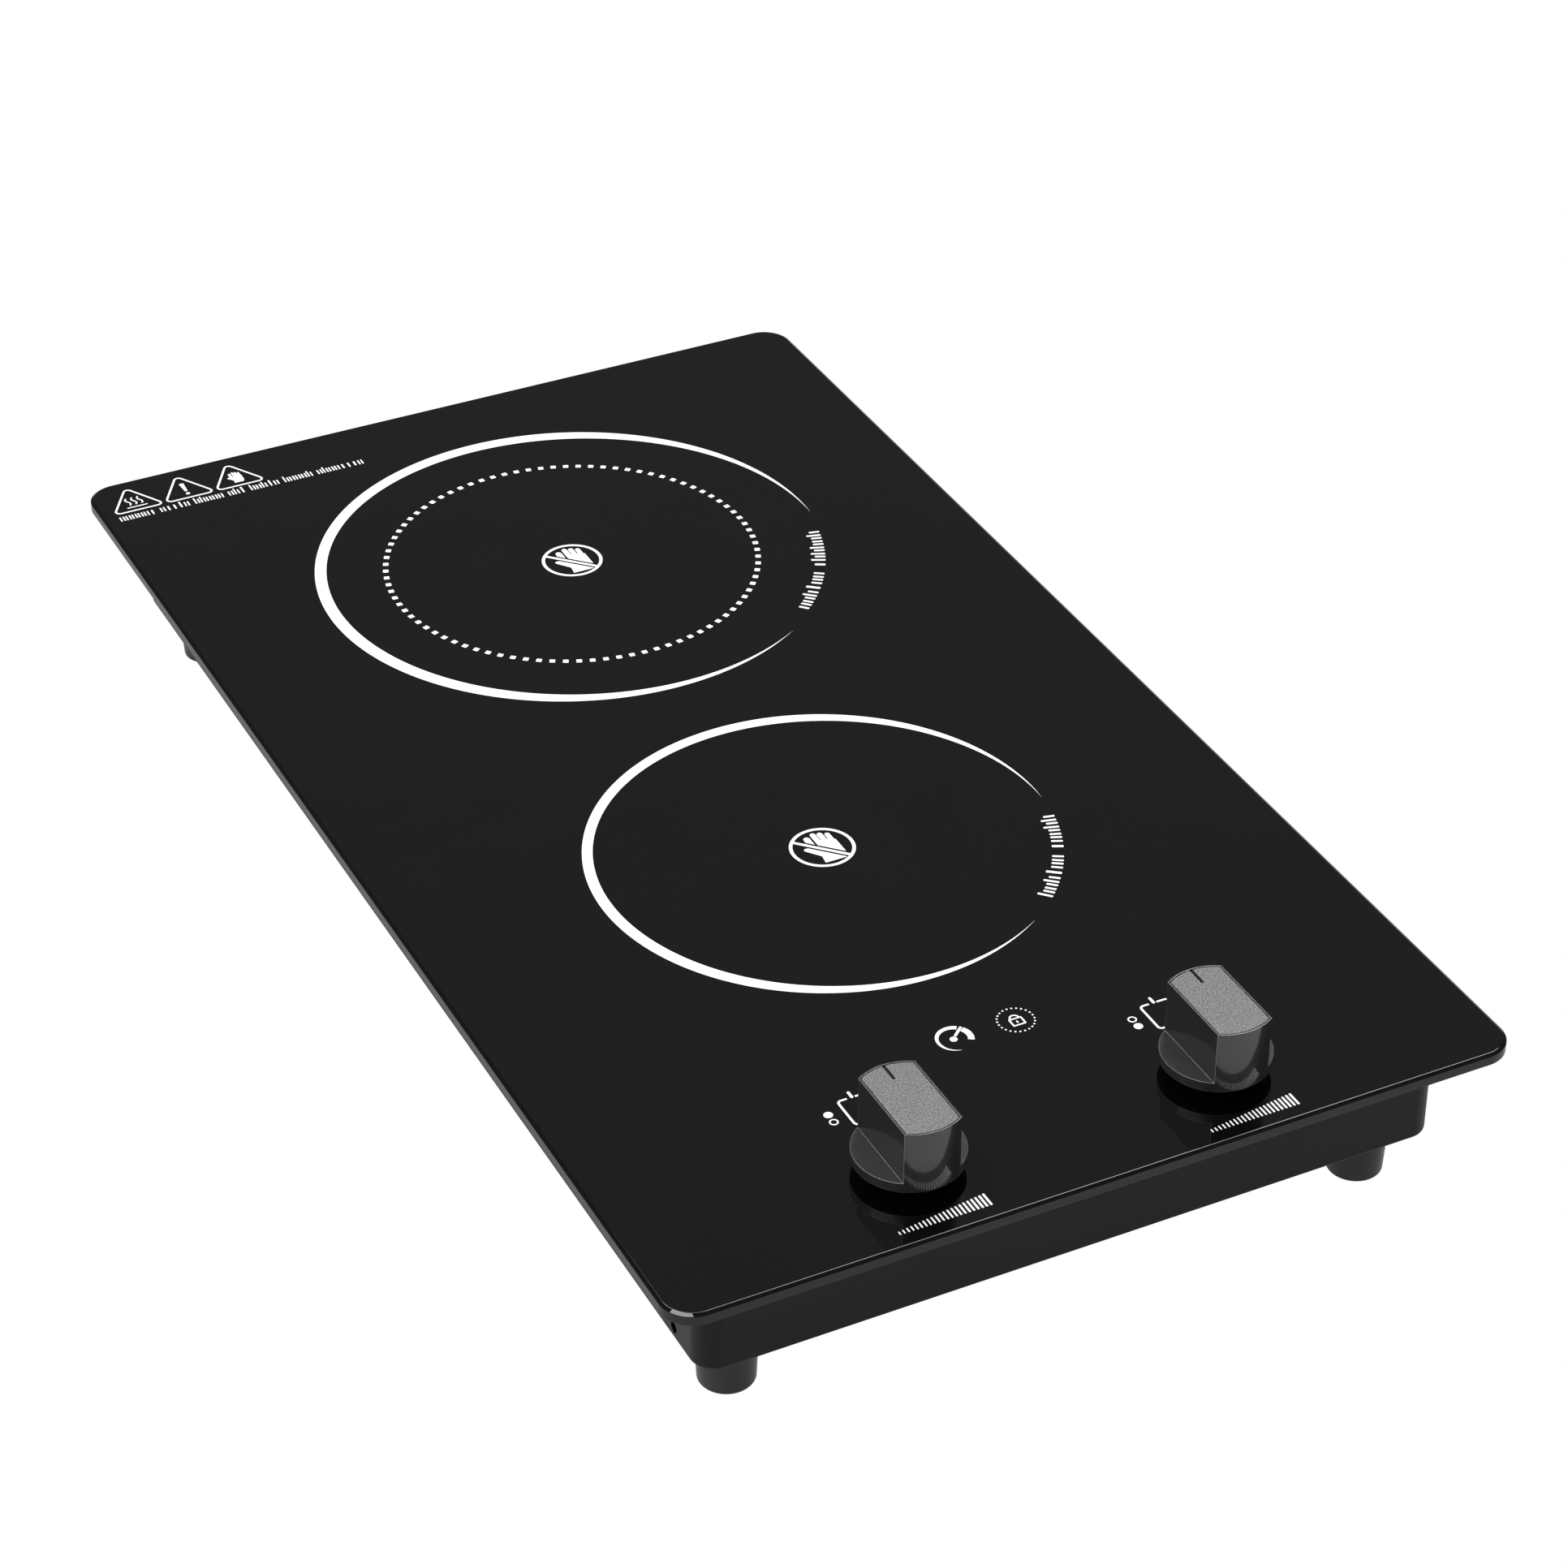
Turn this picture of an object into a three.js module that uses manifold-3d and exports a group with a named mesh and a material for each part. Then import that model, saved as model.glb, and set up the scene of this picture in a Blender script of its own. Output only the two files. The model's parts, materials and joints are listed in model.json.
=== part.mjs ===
// A portable two-zone radiant cooktop with a black ceramic glass top.
//
// The unit is the millimetre and +Z is up. The origin is on the table, under the middle of the glass.
// The controls are at the front (-Y) and the cord leaves at the back (+Y).
import * as THREE from "three";
import { mergeVertices } from "three/addons/utils/BufferGeometryUtils.js";
import Module from "manifold-3d";

const wasm = await Module();
wasm.setup();

// ---- Driving dimensions ----

const plateWidth = 290; // glass, along X
const plateLength = 520; // glass, along Y
const plateThickness = 4;
const plateCorner = 11; // corner radius seen from above
const plateBevelRun = 1.15; // ground edge, measured inwards
const plateBevelDrop = 0.7; // ground edge, measured downwards

const sheet = 1; // steel sheet of the casing
const thinSheet = 0.8; // steel sheet of the small brackets and pans
const casingSideInset = 16.4; // from the glass edge to the wall
const casingFrontInset = 17.4;
const casingRearInset = 15.7;
const casingDepth = 37.1; // from the underside of the glass to the underside of the casing
const casingCorner = 8;
const casingFold = 1.2; // radius where the walls turn into the floor
const frameOutside = 9; // the top frame stands this far outside the casing wall, under the glass
const frameInside = 5; // and this far inside it
const sealThickness = 1.7; // silicone between the top frame and the glass
const sealWidth = 7;

const footHeight = 21.9; // from the table to the casing
const footTopRadius = 10.1;
const footSoleRadius = 9.2; // a moulded foot narrows towards the table
const footEdge = 1.2; // rounding of its lower edge
const footSideInset = 16.6; // from the casing wall to the foot's axis
const footFrontInset = 19.2;
const footMiddleX = 0.75; // the row of feet sits a little right of the middle, as the knobs do
const footRearInset = 15.4;
const footScrewRadius = 2;
const bracketClearance = 4.5; // from the control bracket up to the glass
const springRoom = 3.7; // for the leaf springs between the rails and the pans
const rodClearance = 0.6; // between the heating ribbon and the limiter rod
const footScrewReach = 11; // how far the screw goes into the foot
const screwHeadRadius = 4;
const screwHeadHeight = 2.2;

const knobSpacing = 106.5;
const knobMiddleX = 0.85;
const knobFrontInset = 32.5; // from the front glass edge to the knob's axis
const knobRadius = 17.6;
const knobLift = 4.5; // from the glass to the underside of the dial
const dialThickness = 3.35;
const gripHalfWidth = 9.55;
const gripHeight = 18.55; // from the dial to the top of the grip
const gripRim = 0.45; // land left around the metal insert
const insertThickness = 0.6;
const insertSink = 0.1; // the insert's top lies this far under the rim
const markWidth = 1; // pointer line cut through the insert
const markLength = 7;
const hubRadius = 9;
const hubDrop = 2.6; // the hub reaches this far under the dial
const shaftRadius = 3;
const shaftFlat = 1; // cut off the round to make the D
const shaftLength = 42.5;
const shaftEngagement = 11.6; // how far the shaft goes above the dial's top
const clipThickness = 1.5;

const zoneX = -1; // both zones sit this far off the middle
const rearZoneInset = 126.9; // from the rear glass edge to the zone's middle
const rearPanRadius = 98;
const dividerInset = 30.1; // from the pan's edge to the middle of the wall between its two circuits
const frontZoneInset = 190.9; // from the front glass edge to the zone's middle
const frontPanRadius = 83;
const panDepth = 17;
const ringWidth = 11; // insulating wall around each zone
const dividerWidth = 4;
const insulationThickness = 11;
const coilHeight = 5;
const coilWidth = 0.8;
const coilPitch = 11;
const rodRadius = 2.5;
const limiterHeadSize = [20, 24, 11];
const headGap = 1; // from the pan to the limiter's head

const railHeight = 3.8;
const railHalfCrown = 9;
const railFlange = 8;
const springWidth = 12;
const springSpan = 60;
const springSheet = 0.5;

const regulatorSize = [36, 32, 26];
const regulatorOffsetY = 4; // the body's middle lies this far behind the shaft
const noseRadius = 4.8; // threaded nose that the nut grips
const nutRadius = 8;
const nutHeight = 2.3;

const boardSize = [96, 36, 1.6];
const boardInset = 80; // from the front glass edge to the board's middle
const boardLift = 13; // from the casing floor to the board's underside
const padInset = 80.9; // from the front glass edge to the printed signs
const lockX = 10.9; // touch pad for the lock
const lampX = -11; // lamp behind the power sign
const relaySize = [19, 15.5, 15];
const relayX = 34;

const glandX = 88;
const glandBore = 3.7;
const glandRadius = 7;
const glandLip = 2.5; // the lips stand this far out from the hole
const terminalSize = [34, 18, 16];
const terminalInset = 29.3; // from the rear wall to the block's middle
const terminalPitch = 11;
const wireRadius = 1.3;

// ---- Named clearances ----

const touch = 0.3; // between pieces that rest on each other or sit in each other's holes
const running = 0.4; // around a turning shaft

// ---- Heights and places that follow from them ----

const casingBottom = footHeight;
const floorTop = casingBottom + sheet;
const plateBottom = casingBottom + casingDepth;
const plateTop = plateBottom + plateThickness;
const onFloor = floorTop + touch;
const underGlass = plateBottom - touch;

const casingHalfWidth = plateWidth / 2 - casingSideInset;
const casingFront = -plateLength / 2 + casingFrontInset;
const casingRear = plateLength / 2 - casingRearInset;
const casingLength = casingRear - casingFront;
const casingMiddleY = (casingRear + casingFront) / 2;
const frameTop = underGlass - sealThickness - touch;
const wallTop = frameTop - sheet - touch;

const knobY = -plateLength / 2 + knobFrontInset;
const knobs = [
  { side: "left", x: knobMiddleX - knobSpacing / 2 },
  { side: "right", x: knobMiddleX + knobSpacing / 2 },
];
const dialBottom = plateTop + knobLift;
const dialTop = dialBottom + dialThickness;
const gripTop = dialTop + gripHeight;
const hubBottom = dialBottom - hubDrop;
const shaftTop = dialTop + shaftEngagement;
const shaftBottom = shaftTop - shaftLength;
const shaftHole = shaftRadius + running;
const plateHole = shaftRadius + 4;

const bracketTop = underGlass - bracketClearance;
const bracketHole = noseRadius + touch;
const regulatorTop = bracketTop - sheet - touch;
const noseTop = bracketTop + nutHeight + 2 * touch;

const rearZoneY = plateLength / 2 - rearZoneInset;
const frontZoneY = -plateLength / 2 + frontZoneInset;
const dividerRadius = rearPanRadius - dividerInset;
const panBottom = onFloor + railHeight + touch + springRoom;
const insulationBottom = panBottom + thinSheet + touch;
const insulationTop = insulationBottom + insulationThickness;
const coilBottom = insulationTop + touch;
const rodHeight = coilBottom + coilHeight + rodRadius + rodClearance;

const boardY = -plateLength / 2 + boardInset;
const padY = -plateLength / 2 + padInset;
const boardBottom = floorTop + boardLift;
const boardTop = boardBottom + boardSize[2];
const terminalY = casingRear - terminalInset;
const wallMiddle = (casingBottom + wallTop) / 2;

// ---- Materials ----

const material = (color, roughness, metalness) =>
  new THREE.MeshStandardMaterial({ color, roughness, metalness });

const ceramicGlass = material(0x0c0c0d, 0.06, 0.0);
const blackPaint = material(0x1c1c1e, 0.4, 0.3);
const blackPlastic = material(0x17171a, 0.35, 0.0);
const footPlastic = material(0x242426, 0.3, 0.0);
const brushedSteel = material(0x9a9a9c, 0.35, 1.0);
const zincSteel = material(0xb4b6ba, 0.4, 1.0);
const springSteel = material(0x8c8f94, 0.3, 1.0);
const silicone = material(0x202021, 0.7, 0.0);
const insulation = material(0xe4e0d6, 0.95, 0.0);
const heatingAlloy = material(0x5c5650, 0.5, 0.9);
const steatite = material(0xe8e4da, 0.5, 0.0);
const quartz = material(0xd4d8dc, 0.1, 0.0);
const brass = material(0xb6964e, 0.3, 1.0);
const phenolic = material(0x2a2320, 0.5, 0.0);
const boardGreen = material(0x1f5a34, 0.5, 0.0);
const relayBlue = material(0x2a4f8f, 0.4, 0.0);
const lampRed = material(0xb03020, 0.25, 0.0);
const wireJacket = material(0x7a3f22, 0.6, 0.0);

// ---- Helpers ----

const cooktop = new THREE.Group();

function addPart(name, geometry, look, x = 0, y = 0, z = 0) {
  const mesh = new THREE.Mesh(geometry, look);
  mesh.name = name;
  mesh.position.set(x, y, z);
  cooktop.add(mesh);
}

// A geometry as a manifold solid, with shared corners merged and flat triangles dropped.
function solidOf(geometry) {
  const bare = geometry.index ? geometry.toNonIndexed() : geometry.clone();
  bare.deleteAttribute("normal");
  bare.deleteAttribute("uv");
  const merged = mergeVertices(bare, 1e-4);
  const corners = merged.index.array;
  const kept = [];
  for (let i = 0; i < corners.length; i += 3) {
    const [a, b, c] = [corners[i], corners[i + 1], corners[i + 2]];
    if (a !== b && b !== c && c !== a) kept.push(a, b, c);
  }
  return new wasm.Manifold(
    new wasm.Mesh({
      numProp: 3,
      vertProperties: new Float32Array(merged.attributes.position.array),
      triVerts: new Uint32Array(kept),
    }),
  );
}

function geometryOf(solid) {
  const mesh = solid.getMesh();
  const geometry = new THREE.BufferGeometry();
  geometry.setAttribute("position", new THREE.BufferAttribute(mesh.vertProperties, 3));
  geometry.setIndex(new THREE.BufferAttribute(mesh.triVerts, 1));
  const flat = geometry.toNonIndexed();
  flat.computeVertexNormals();
  return flat;
}

function cut(body, ...tools) {
  return geometryOf(tools.reduce((left, tool) => left.subtract(solidOf(tool)), solidOf(body)));
}

function join(body, ...others) {
  return geometryOf(others.reduce((sum, other) => sum.add(solidOf(other)), solidOf(body)));
}

function keepInside(body, region) {
  return geometryOf(solidOf(body).intersect(solidOf(region)));
}

// A turned piece from [radius, height] corners, with its axis on Z.
function turned(corners, segments = 32) {
  const area = corners.reduce((sum, [r, z], i) => {
    const [nextR, nextZ] = corners[(i + 1) % corners.length];
    return sum + r * nextZ - nextR * z;
  }, 0);
  const ordered = area > 0 ? corners : [...corners].reverse();
  const points = ordered.map(([r, z]) => new THREE.Vector2(r, z));
  const onAxis = ordered[0][0] === 0 && ordered[ordered.length - 1][0] === 0;
  if (!onAxis) points.push(points[0].clone());
  return new THREE.LatheGeometry(points, segments).rotateX(Math.PI / 2);
}

function cylinder(radius, bottom, top, segments = 24) {
  return turned([[0, bottom], [radius, bottom], [radius, top], [0, top]], segments);
}

function tube(inner, outer, bottom, top, segments = 24) {
  return turned([[inner, bottom], [outer, bottom], [outer, top], [inner, top]], segments);
}

function box(width, depth, height, x = 0, y = 0, bottom = 0) {
  return new THREE.BoxGeometry(width, depth, height).translate(x, y, bottom + height / 2);
}

function polygon(corners) {
  return new THREE.Shape(corners.map(([x, y]) => new THREE.Vector2(x, y)));
}

function roundedRectangle(width, length, radius, middleY = 0) {
  const x = width / 2 - radius;
  const low = middleY - length / 2 + radius;
  const high = middleY + length / 2 - radius;
  const shape = new THREE.Shape();
  shape.absarc(x, low, radius, -Math.PI / 2, 0);
  shape.absarc(x, high, radius, 0, Math.PI / 2);
  shape.absarc(-x, high, radius, Math.PI / 2, Math.PI);
  shape.absarc(-x, low, radius, Math.PI, 1.5 * Math.PI);
  return shape;
}

function upwards(shape, bottom, height, curveSegments = 3) {
  const options = { depth: height, bevelEnabled: false, curveSegments };
  return new THREE.ExtrudeGeometry(shape, options).translate(0, 0, bottom);
}

// An upright slab whose top and bottom edges are bevelled by the same run and drop.
function bevelled(shape, bottom, height, run, drop, steps, curveSegments) {
  const options = {
    depth: height - 2 * drop,
    bevelSize: run,
    bevelOffset: -run,
    bevelThickness: drop,
    bevelSegments: steps,
    curveSegments,
  };
  return new THREE.ExtrudeGeometry(shape, options).translate(0, 0, bottom + drop);
}

// A section drawn in (Y, Z) and drawn out along X, centred on X.
function alongX(shape, length) {
  const turn = new THREE.Matrix4().makeBasis(
    new THREE.Vector3(0, 1, 0),
    new THREE.Vector3(0, 0, 1),
    new THREE.Vector3(1, 0, 0),
  );
  return upwards(shape, -length / 2, length).applyMatrix4(turn);
}

// A section drawn in (X, Z) and drawn out along Y, centred on Y.
function alongY(shape, length, curveSegments = 3) {
  const turn = new THREE.Matrix4().makeBasis(
    new THREE.Vector3(1, 0, 0),
    new THREE.Vector3(0, 0, 1),
    new THREE.Vector3(0, -1, 0),
  );
  return upwards(shape, -length / 2, length, curveSegments).applyMatrix4(turn);
}

// A top-hat section standing on height 0.
function hatSection(halfCrown, flange, height, thickness) {
  const inner = halfCrown - thickness;
  const outer = halfCrown + flange;
  return polygon([
    [-outer, 0], [-inner, 0], [-inner, height - thickness], [inner, height - thickness],
    [inner, 0], [outer, 0], [outer, thickness], [halfCrown, thickness],
    [halfCrown, height], [-halfCrown, height], [-halfCrown, thickness], [-outer, thickness],
  ]);
}

// The outline of a strip of even width along a line of points.
function stripOutline(points, halfWidth) {
  const left = [];
  const right = [];
  points.forEach((point, i) => {
    const before = points[Math.max(i - 1, 0)];
    const after = points[Math.min(i + 1, points.length - 1)];
    const into = new THREE.Vector2().subVectors(point, before).normalize();
    const out = new THREE.Vector2().subVectors(after, point).normalize();
    const along = into.clone().add(out).normalize();
    const edge = into.lengthSq() > 0 ? into : out;
    const mitre = halfWidth / Math.abs(along.dot(edge));
    const side = new THREE.Vector2(-along.y, along.x).multiplyScalar(mitre);
    left.push(new THREE.Vector2().addVectors(point, side));
    right.unshift(new THREE.Vector2().subVectors(point, side));
  });
  return new THREE.Shape([...right, ...left]);
}

// ---- Glass ----

function glassPlate() {
  const outline = roundedRectangle(plateWidth, plateLength, plateCorner);
  const bottom = plateBottom - plateThickness;
  const height = 2 * plateThickness;
  const slab = bevelled(outline, bottom, height, plateBevelRun, plateBevelDrop, 1, 4);
  const upper = box(plateWidth + 20, plateLength + 20, height, 0, 0, plateBottom);
  const holes = knobs.map(({ x }) => {
    return cylinder(plateHole, plateBottom - 1, plateTop + 1, 24).translate(x, knobY, 0);
  });
  return cut(keepInside(slab, upper), ...holes);
}

// A flat frame that follows the casing's wall, from one distance outside it to another.
function casingFrame(outset, width, bottom, height) {
  const wide = 2 * (casingHalfWidth + outset);
  const long = casingLength + 2 * outset;
  const frame = roundedRectangle(wide, long, casingCorner + outset, casingMiddleY);
  const inset = outset - width;
  const hole = roundedRectangle(
    2 * (casingHalfWidth + inset),
    casingLength + 2 * inset,
    Math.max(casingCorner + inset, 1),
    casingMiddleY,
  );
  frame.holes.push(hole);
  return upwards(frame, bottom, height);
}

function topFrame() {
  return casingFrame(frameOutside, frameOutside + frameInside, frameTop - sheet, sheet);
}

function glassSeal() {
  const outset = (frameOutside + sealWidth) / 2;
  return casingFrame(outset, sealWidth, frameTop + touch, sealThickness);
}

// ---- Casing ----

const sideHoleRadius = 1.9;
const sideHoleLift = 4.4; // from the casing's underside to the middle of the hole
const sideHoleInset = 19; // from the front and the rear wall, on both sides

const ventWidth = 5;
const ventLength = 46;
const ventPitch = 15;
const ventRows = [
  { y: (rearZoneY - rearPanRadius + frontZoneY + frontPanRadius) / 2, count: 9 },
  { y: boardY - 13, count: 4 },
];
const rearVentWidth = 3.5;
const rearVentHeight = 12;
const rearVentPitch = 10;
const rearVentCount = 7;
const rearVentX = -45;

function ventSlot(x, y) {
  const slot = roundedRectangle(ventWidth, ventLength, ventWidth / 2 - 0.01);
  return upwards(slot, casingBottom - 1, sheet + 2, 1).translate(x, y, 0);
}

function rearVentSlot(x, height) {
  const slot = roundedRectangle(rearVentWidth, rearVentHeight, rearVentWidth / 2 - 0.01);
  return alongY(slot, 6, 1).translate(x, casingRear - sheet / 2, height);
}

function footPlaces() {
  const left = footMiddleX - (casingHalfWidth - footSideInset);
  const right = footMiddleX + (casingHalfWidth - footSideInset);
  const front = casingFront + footFrontInset;
  const rear = casingRear - footRearInset;
  return [
    { corner: "front_left", x: left, y: front },
    { corner: "front_right", x: right, y: front },
    { corner: "rear_left", x: left, y: rear },
    { corner: "rear_right", x: right, y: rear },
  ];
}

function casingTray() {
  const outer = roundedRectangle(2 * casingHalfWidth, casingLength, casingCorner, casingMiddleY);
  const height = wallTop - casingBottom;
  const shell = bevelled(outer, casingBottom, height + 10, casingFold, casingFold, 2, 3);
  const trim = box(plateWidth, plateLength, height, 0, 0, casingBottom);
  const inner = roundedRectangle(
    2 * (casingHalfWidth - sheet),
    casingLength - 2 * sheet,
    casingCorner - sheet,
    casingMiddleY,
  );
  const hollow = upwards(inner, floorTop, height + 10);
  const body = cut(keepInside(shell, trim), hollow);
  const holes = footPlaces().map(({ x, y }) => {
    const hole = cylinder(footScrewRadius + touch, casingBottom - 1, floorTop + 1, 12);
    return hole.translate(x, y, 0);
  });
  for (const y of [casingFront + sideHoleInset, casingRear - sideHoleInset]) {
    const hole = cylinder(sideHoleRadius, -plateWidth, plateWidth, 16);
    holes.push(hole.rotateY(Math.PI / 2).translate(0, y, casingBottom + sideHoleLift));
  }
  for (const { y, count } of ventRows) {
    for (let i = 0; i < count; i += 1) {
      holes.push(ventSlot((i - (count - 1) / 2) * ventPitch, y));
    }
  }
  for (let i = 0; i < rearVentCount; i += 1) {
    const x = rearVentX + (i - (rearVentCount - 1) / 2) * rearVentPitch;
    holes.push(rearVentSlot(x, wallMiddle));
  }
  const inlet = cylinder(glandRadius + touch, -10, 10, 24).rotateX(Math.PI / 2);
  holes.push(inlet.translate(glandX, casingRear, wallMiddle));
  return cut(body, ...holes);
}

function foot() {
  const top = footHeight - touch;
  const bore = footScrewRadius + touch;
  return turned(
    [
      [0, 0], [footSoleRadius - footEdge, 0], [footSoleRadius - footEdge * 0.3, footEdge * 0.3],
      [footSoleRadius, footEdge], [footTopRadius, top], [bore, top],
      [bore, top - footScrewReach], [0, top - footScrewReach],
    ],
    28,
  );
}

function footScrew() {
  const tip = footHeight - touch - footScrewReach + touch;
  const seat = onFloor;
  const crown = seat + screwHeadHeight;
  return turned(
    [
      [0, tip], [footScrewRadius, tip], [footScrewRadius, seat], [screwHeadRadius, seat],
      [screwHeadRadius, seat + screwHeadHeight / 2], [screwHeadRadius - 1.2, crown], [0, crown],
    ],
    16,
  );
}

// A moulded ring that snaps into the wall, with a lip on both faces. Its axis is Y.
function cordGland() {
  const lip = glandRadius + glandLip;
  const outside = 4;
  const inside = 3;
  const inFace = -sheet - touch;
  return turned(
    [
      [glandBore, inFace - inside], [lip, inFace - inside], [lip, inFace], [glandRadius, inFace],
      [glandRadius, touch], [lip, touch], [lip, outside - 1], [lip - 1, outside],
      [glandBore + 0.8, outside], [glandBore, outside - 0.8],
    ],
    20,
  ).rotateX(-Math.PI / 2);
}

function terminalBlock() {
  const [width, depth, height] = terminalSize;
  const ways = [-terminalPitch, 0, terminalPitch].map((x) => {
    const way = cylinder(wireRadius + 0.9, -depth, depth, 12).rotateX(Math.PI / 2);
    return way.translate(x, 0, height * 0.4);
  });
  return cut(box(width, depth, height), ...ways);
}

// ---- Heaters ----

function pan(radius) {
  return turned(
    [
      [0, 0], [radius, 0], [radius, panDepth], [radius - thinSheet, panDepth],
      [radius - thinSheet, thinSheet], [0, thinSheet],
    ],
    36,
  );
}

function insulationRadius(panRadius) {
  return panRadius - thinSheet - touch;
}

// The bore that the limiter's rod needs through an insulating wall, along X.
function rodWay(length) {
  return cylinder(rodRadius + touch, -length, length, 12).rotateY(Math.PI / 2);
}

function insulationRing(inner, outer) {
  return tube(inner, outer, coilBottom, underGlass, 36);
}

// A ribbon that runs back and forth on arcs of growing radius, open towards +Y.
function coil(radii) {
  const gap = 0.24;
  const step = Math.PI / 10;
  const points = [];
  radii.forEach((radius, i) => {
    const start = Math.PI / 2 + gap;
    const span = 2 * Math.PI - 2 * gap;
    const count = Math.ceil(span / step);
    for (let k = 0; k <= count; k += 1) {
      const share = i % 2 === 0 ? k / count : 1 - k / count;
      const angle = start + share * span;
      points.push(new THREE.Vector2(radius * Math.cos(angle), radius * Math.sin(angle)));
    }
  });
  return upwards(stripOutline(points, coilWidth / 2), coilBottom, coilHeight);
}

function radiiBetween(inner, outer) {
  const count = Math.floor((outer - inner) / coilPitch) + 1;
  const pitch = (outer - inner) / Math.max(count - 1, 1);
  return Array.from({ length: count }, (_, i) => inner + i * pitch);
}

// The rod crosses the whole zone and stops short of the head by the usual clearance.
function limiterRod(panRadius) {
  const farEnd = -insulationRadius(panRadius) + ringWidth + 4;
  const nearEnd = panRadius + headGap - touch;
  return cylinder(rodRadius, farEnd, nearEnd, 12).rotateY(Math.PI / 2);
}

function limiterHead(panRadius) {
  const [width, depth, height] = limiterHeadSize;
  const middle = panRadius + headGap + width / 2;
  const body = box(width, depth, height, middle, 0, -height / 2);
  const slot = box(2, depth + 2, height / 3, middle + width / 6, 0, height / 4);
  return cut(body, slot);
}

function addHeater(zone, x, y, panRadius) {
  const outer = insulationRadius(panRadius);
  const inner = outer - ringWidth;
  const way = rodWay(panRadius + 20).translate(0, 0, rodHeight);
  const halfWay = keepInside(way, box(panRadius * 3, 20, 80, panRadius * 1.5, 0, 0));
  addPart(`${zone}_heater_pan`, pan(panRadius), zincSteel, x, y, panBottom);
  const disc = cylinder(outer, insulationBottom, insulationTop, 36);
  addPart(`${zone}_insulation_base`, disc, insulation, x, y);
  addPart(`${zone}_insulation_ring`, cut(insulationRing(inner, outer), halfWay), insulation, x, y);
  addPart(`${zone}_limiter_rod`, limiterRod(panRadius), quartz, x, y, rodHeight);
  addPart(`${zone}_limiter_head`, limiterHead(panRadius), steatite, x, y, rodHeight);
  return inner;
}

function addRearHeater() {
  const inner = addHeater("rear", zoneX, rearZoneY, rearPanRadius);
  const wallInside = dividerRadius - dividerWidth / 2;
  const wallOutside = dividerRadius + dividerWidth / 2;
  const way = rodWay(rearPanRadius).translate(0, 0, rodHeight);
  const divider = cut(insulationRing(wallInside, wallOutside), way);
  addPart("rear_divider_ring", divider, insulation, zoneX, rearZoneY);
  const innerCoil = coil(radiiBetween(13, wallInside - 5));
  addPart("rear_inner_coil", innerCoil, heatingAlloy, zoneX, rearZoneY);
  const outerCoil = coil([wallOutside + 4, inner - 4]);
  addPart("rear_outer_coil", outerCoil, heatingAlloy, zoneX, rearZoneY);
}

function addFrontHeater() {
  const inner = addHeater("front", zoneX, frontZoneY, frontPanRadius);
  addPart("front_coil", coil(radiiBetween(13, inner - 5)), heatingAlloy, zoneX, frontZoneY);
}

// ---- What carries the heaters ----

function supportRail(length) {
  return alongX(hatSection(railHalfCrown, railFlange, railHeight, thinSheet), length);
}

function leafSpring() {
  const rise = panBottom - touch - (onFloor + railHeight + touch) - springSheet;
  const half = springSpan / 2;
  const strip = new THREE.Shape();
  strip.moveTo(-half, 0);
  strip.quadraticCurveTo(0, 2 * rise, half, 0);
  strip.lineTo(half, springSheet);
  strip.quadraticCurveTo(0, 2 * rise + springSheet, -half, springSheet);
  return alongY(strip, springWidth);
}

function addSupports(zone, x, y, panRadius) {
  const length = 2 * (casingHalfWidth - sheet - casingFold - 2);
  for (const [place, sign] of [["front", -1], ["rear", 1]]) {
    const railY = y + sign * panRadius * 0.55;
    addPart(`${zone}_zone_${place}_rail`, supportRail(length), zincSteel, 0, railY, onFloor);
    const springBottom = onFloor + railHeight + touch;
    addPart(`${zone}_zone_${place}_spring`, leafSpring(), springSteel, x, railY, springBottom);
  }
}

// ---- Controls ----

const bracketHalfWidth = 96;
const bracketFlange = 10;
const bracketDepth = 34;
const bracketY = knobY + regulatorOffsetY;

function controlBracket() {
  const height = bracketTop - onFloor;
  const section = hatSection(bracketHalfWidth, bracketFlange, height, sheet);
  const holes = knobs.map(({ x }) => {
    return cylinder(bracketHole, 0, 60, 24).translate(x, -regulatorOffsetY, 0);
  });
  return cut(alongY(section, bracketDepth), ...holes);
}

function regulator() {
  const [width, depth, height] = regulatorSize;
  const body = box(width, depth, height, 0, regulatorOffsetY, regulatorTop - height);
  const nose = cylinder(noseRadius, regulatorTop - 2, noseTop, 20);
  const bore = cylinder(shaftHole, shaftBottom - touch, noseTop + 1, 20);
  return cut(join(body, nose), bore);
}

function hexNut() {
  const outline = new THREE.Shape();
  outline.setFromPoints(
    Array.from({ length: 6 }, (_, i) => {
      const angle = (i * Math.PI) / 3;
      return new THREE.Vector2(nutRadius * Math.cos(angle), nutRadius * Math.sin(angle));
    }),
  );
  const hole = new THREE.Path();
  hole.absarc(0, 0, bracketHole, 0, 2 * Math.PI);
  outline.holes.push(hole);
  return upwards(outline, 0, nutHeight, 8);
}

// The rubber bush in the glass that keeps spills away from the shaft.
function shaftSeal() {
  const body = plateHole - touch;
  const lip = body + 1.8;
  const low = plateBottom - touch;
  const high = plateTop + touch;
  return turned(
    [
      [shaftHole, low - 1.3], [lip, low - 1.3], [lip, low], [body, low],
      [body, high], [lip, high], [lip - 0.6, high + 0.8], [shaftHole, high + 0.8],
    ],
    20,
  );
}

// A round bar with a flat on its -Y side, from one height to another.
function flattedBar(radius, flatDistance, bottom, top, segments = 20) {
  const bar = cylinder(radius, bottom, top, segments);
  const away = box(4 * radius, radius, top - bottom + 2, 0, -flatDistance - radius / 2, bottom - 1);
  return cut(bar, away);
}

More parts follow.
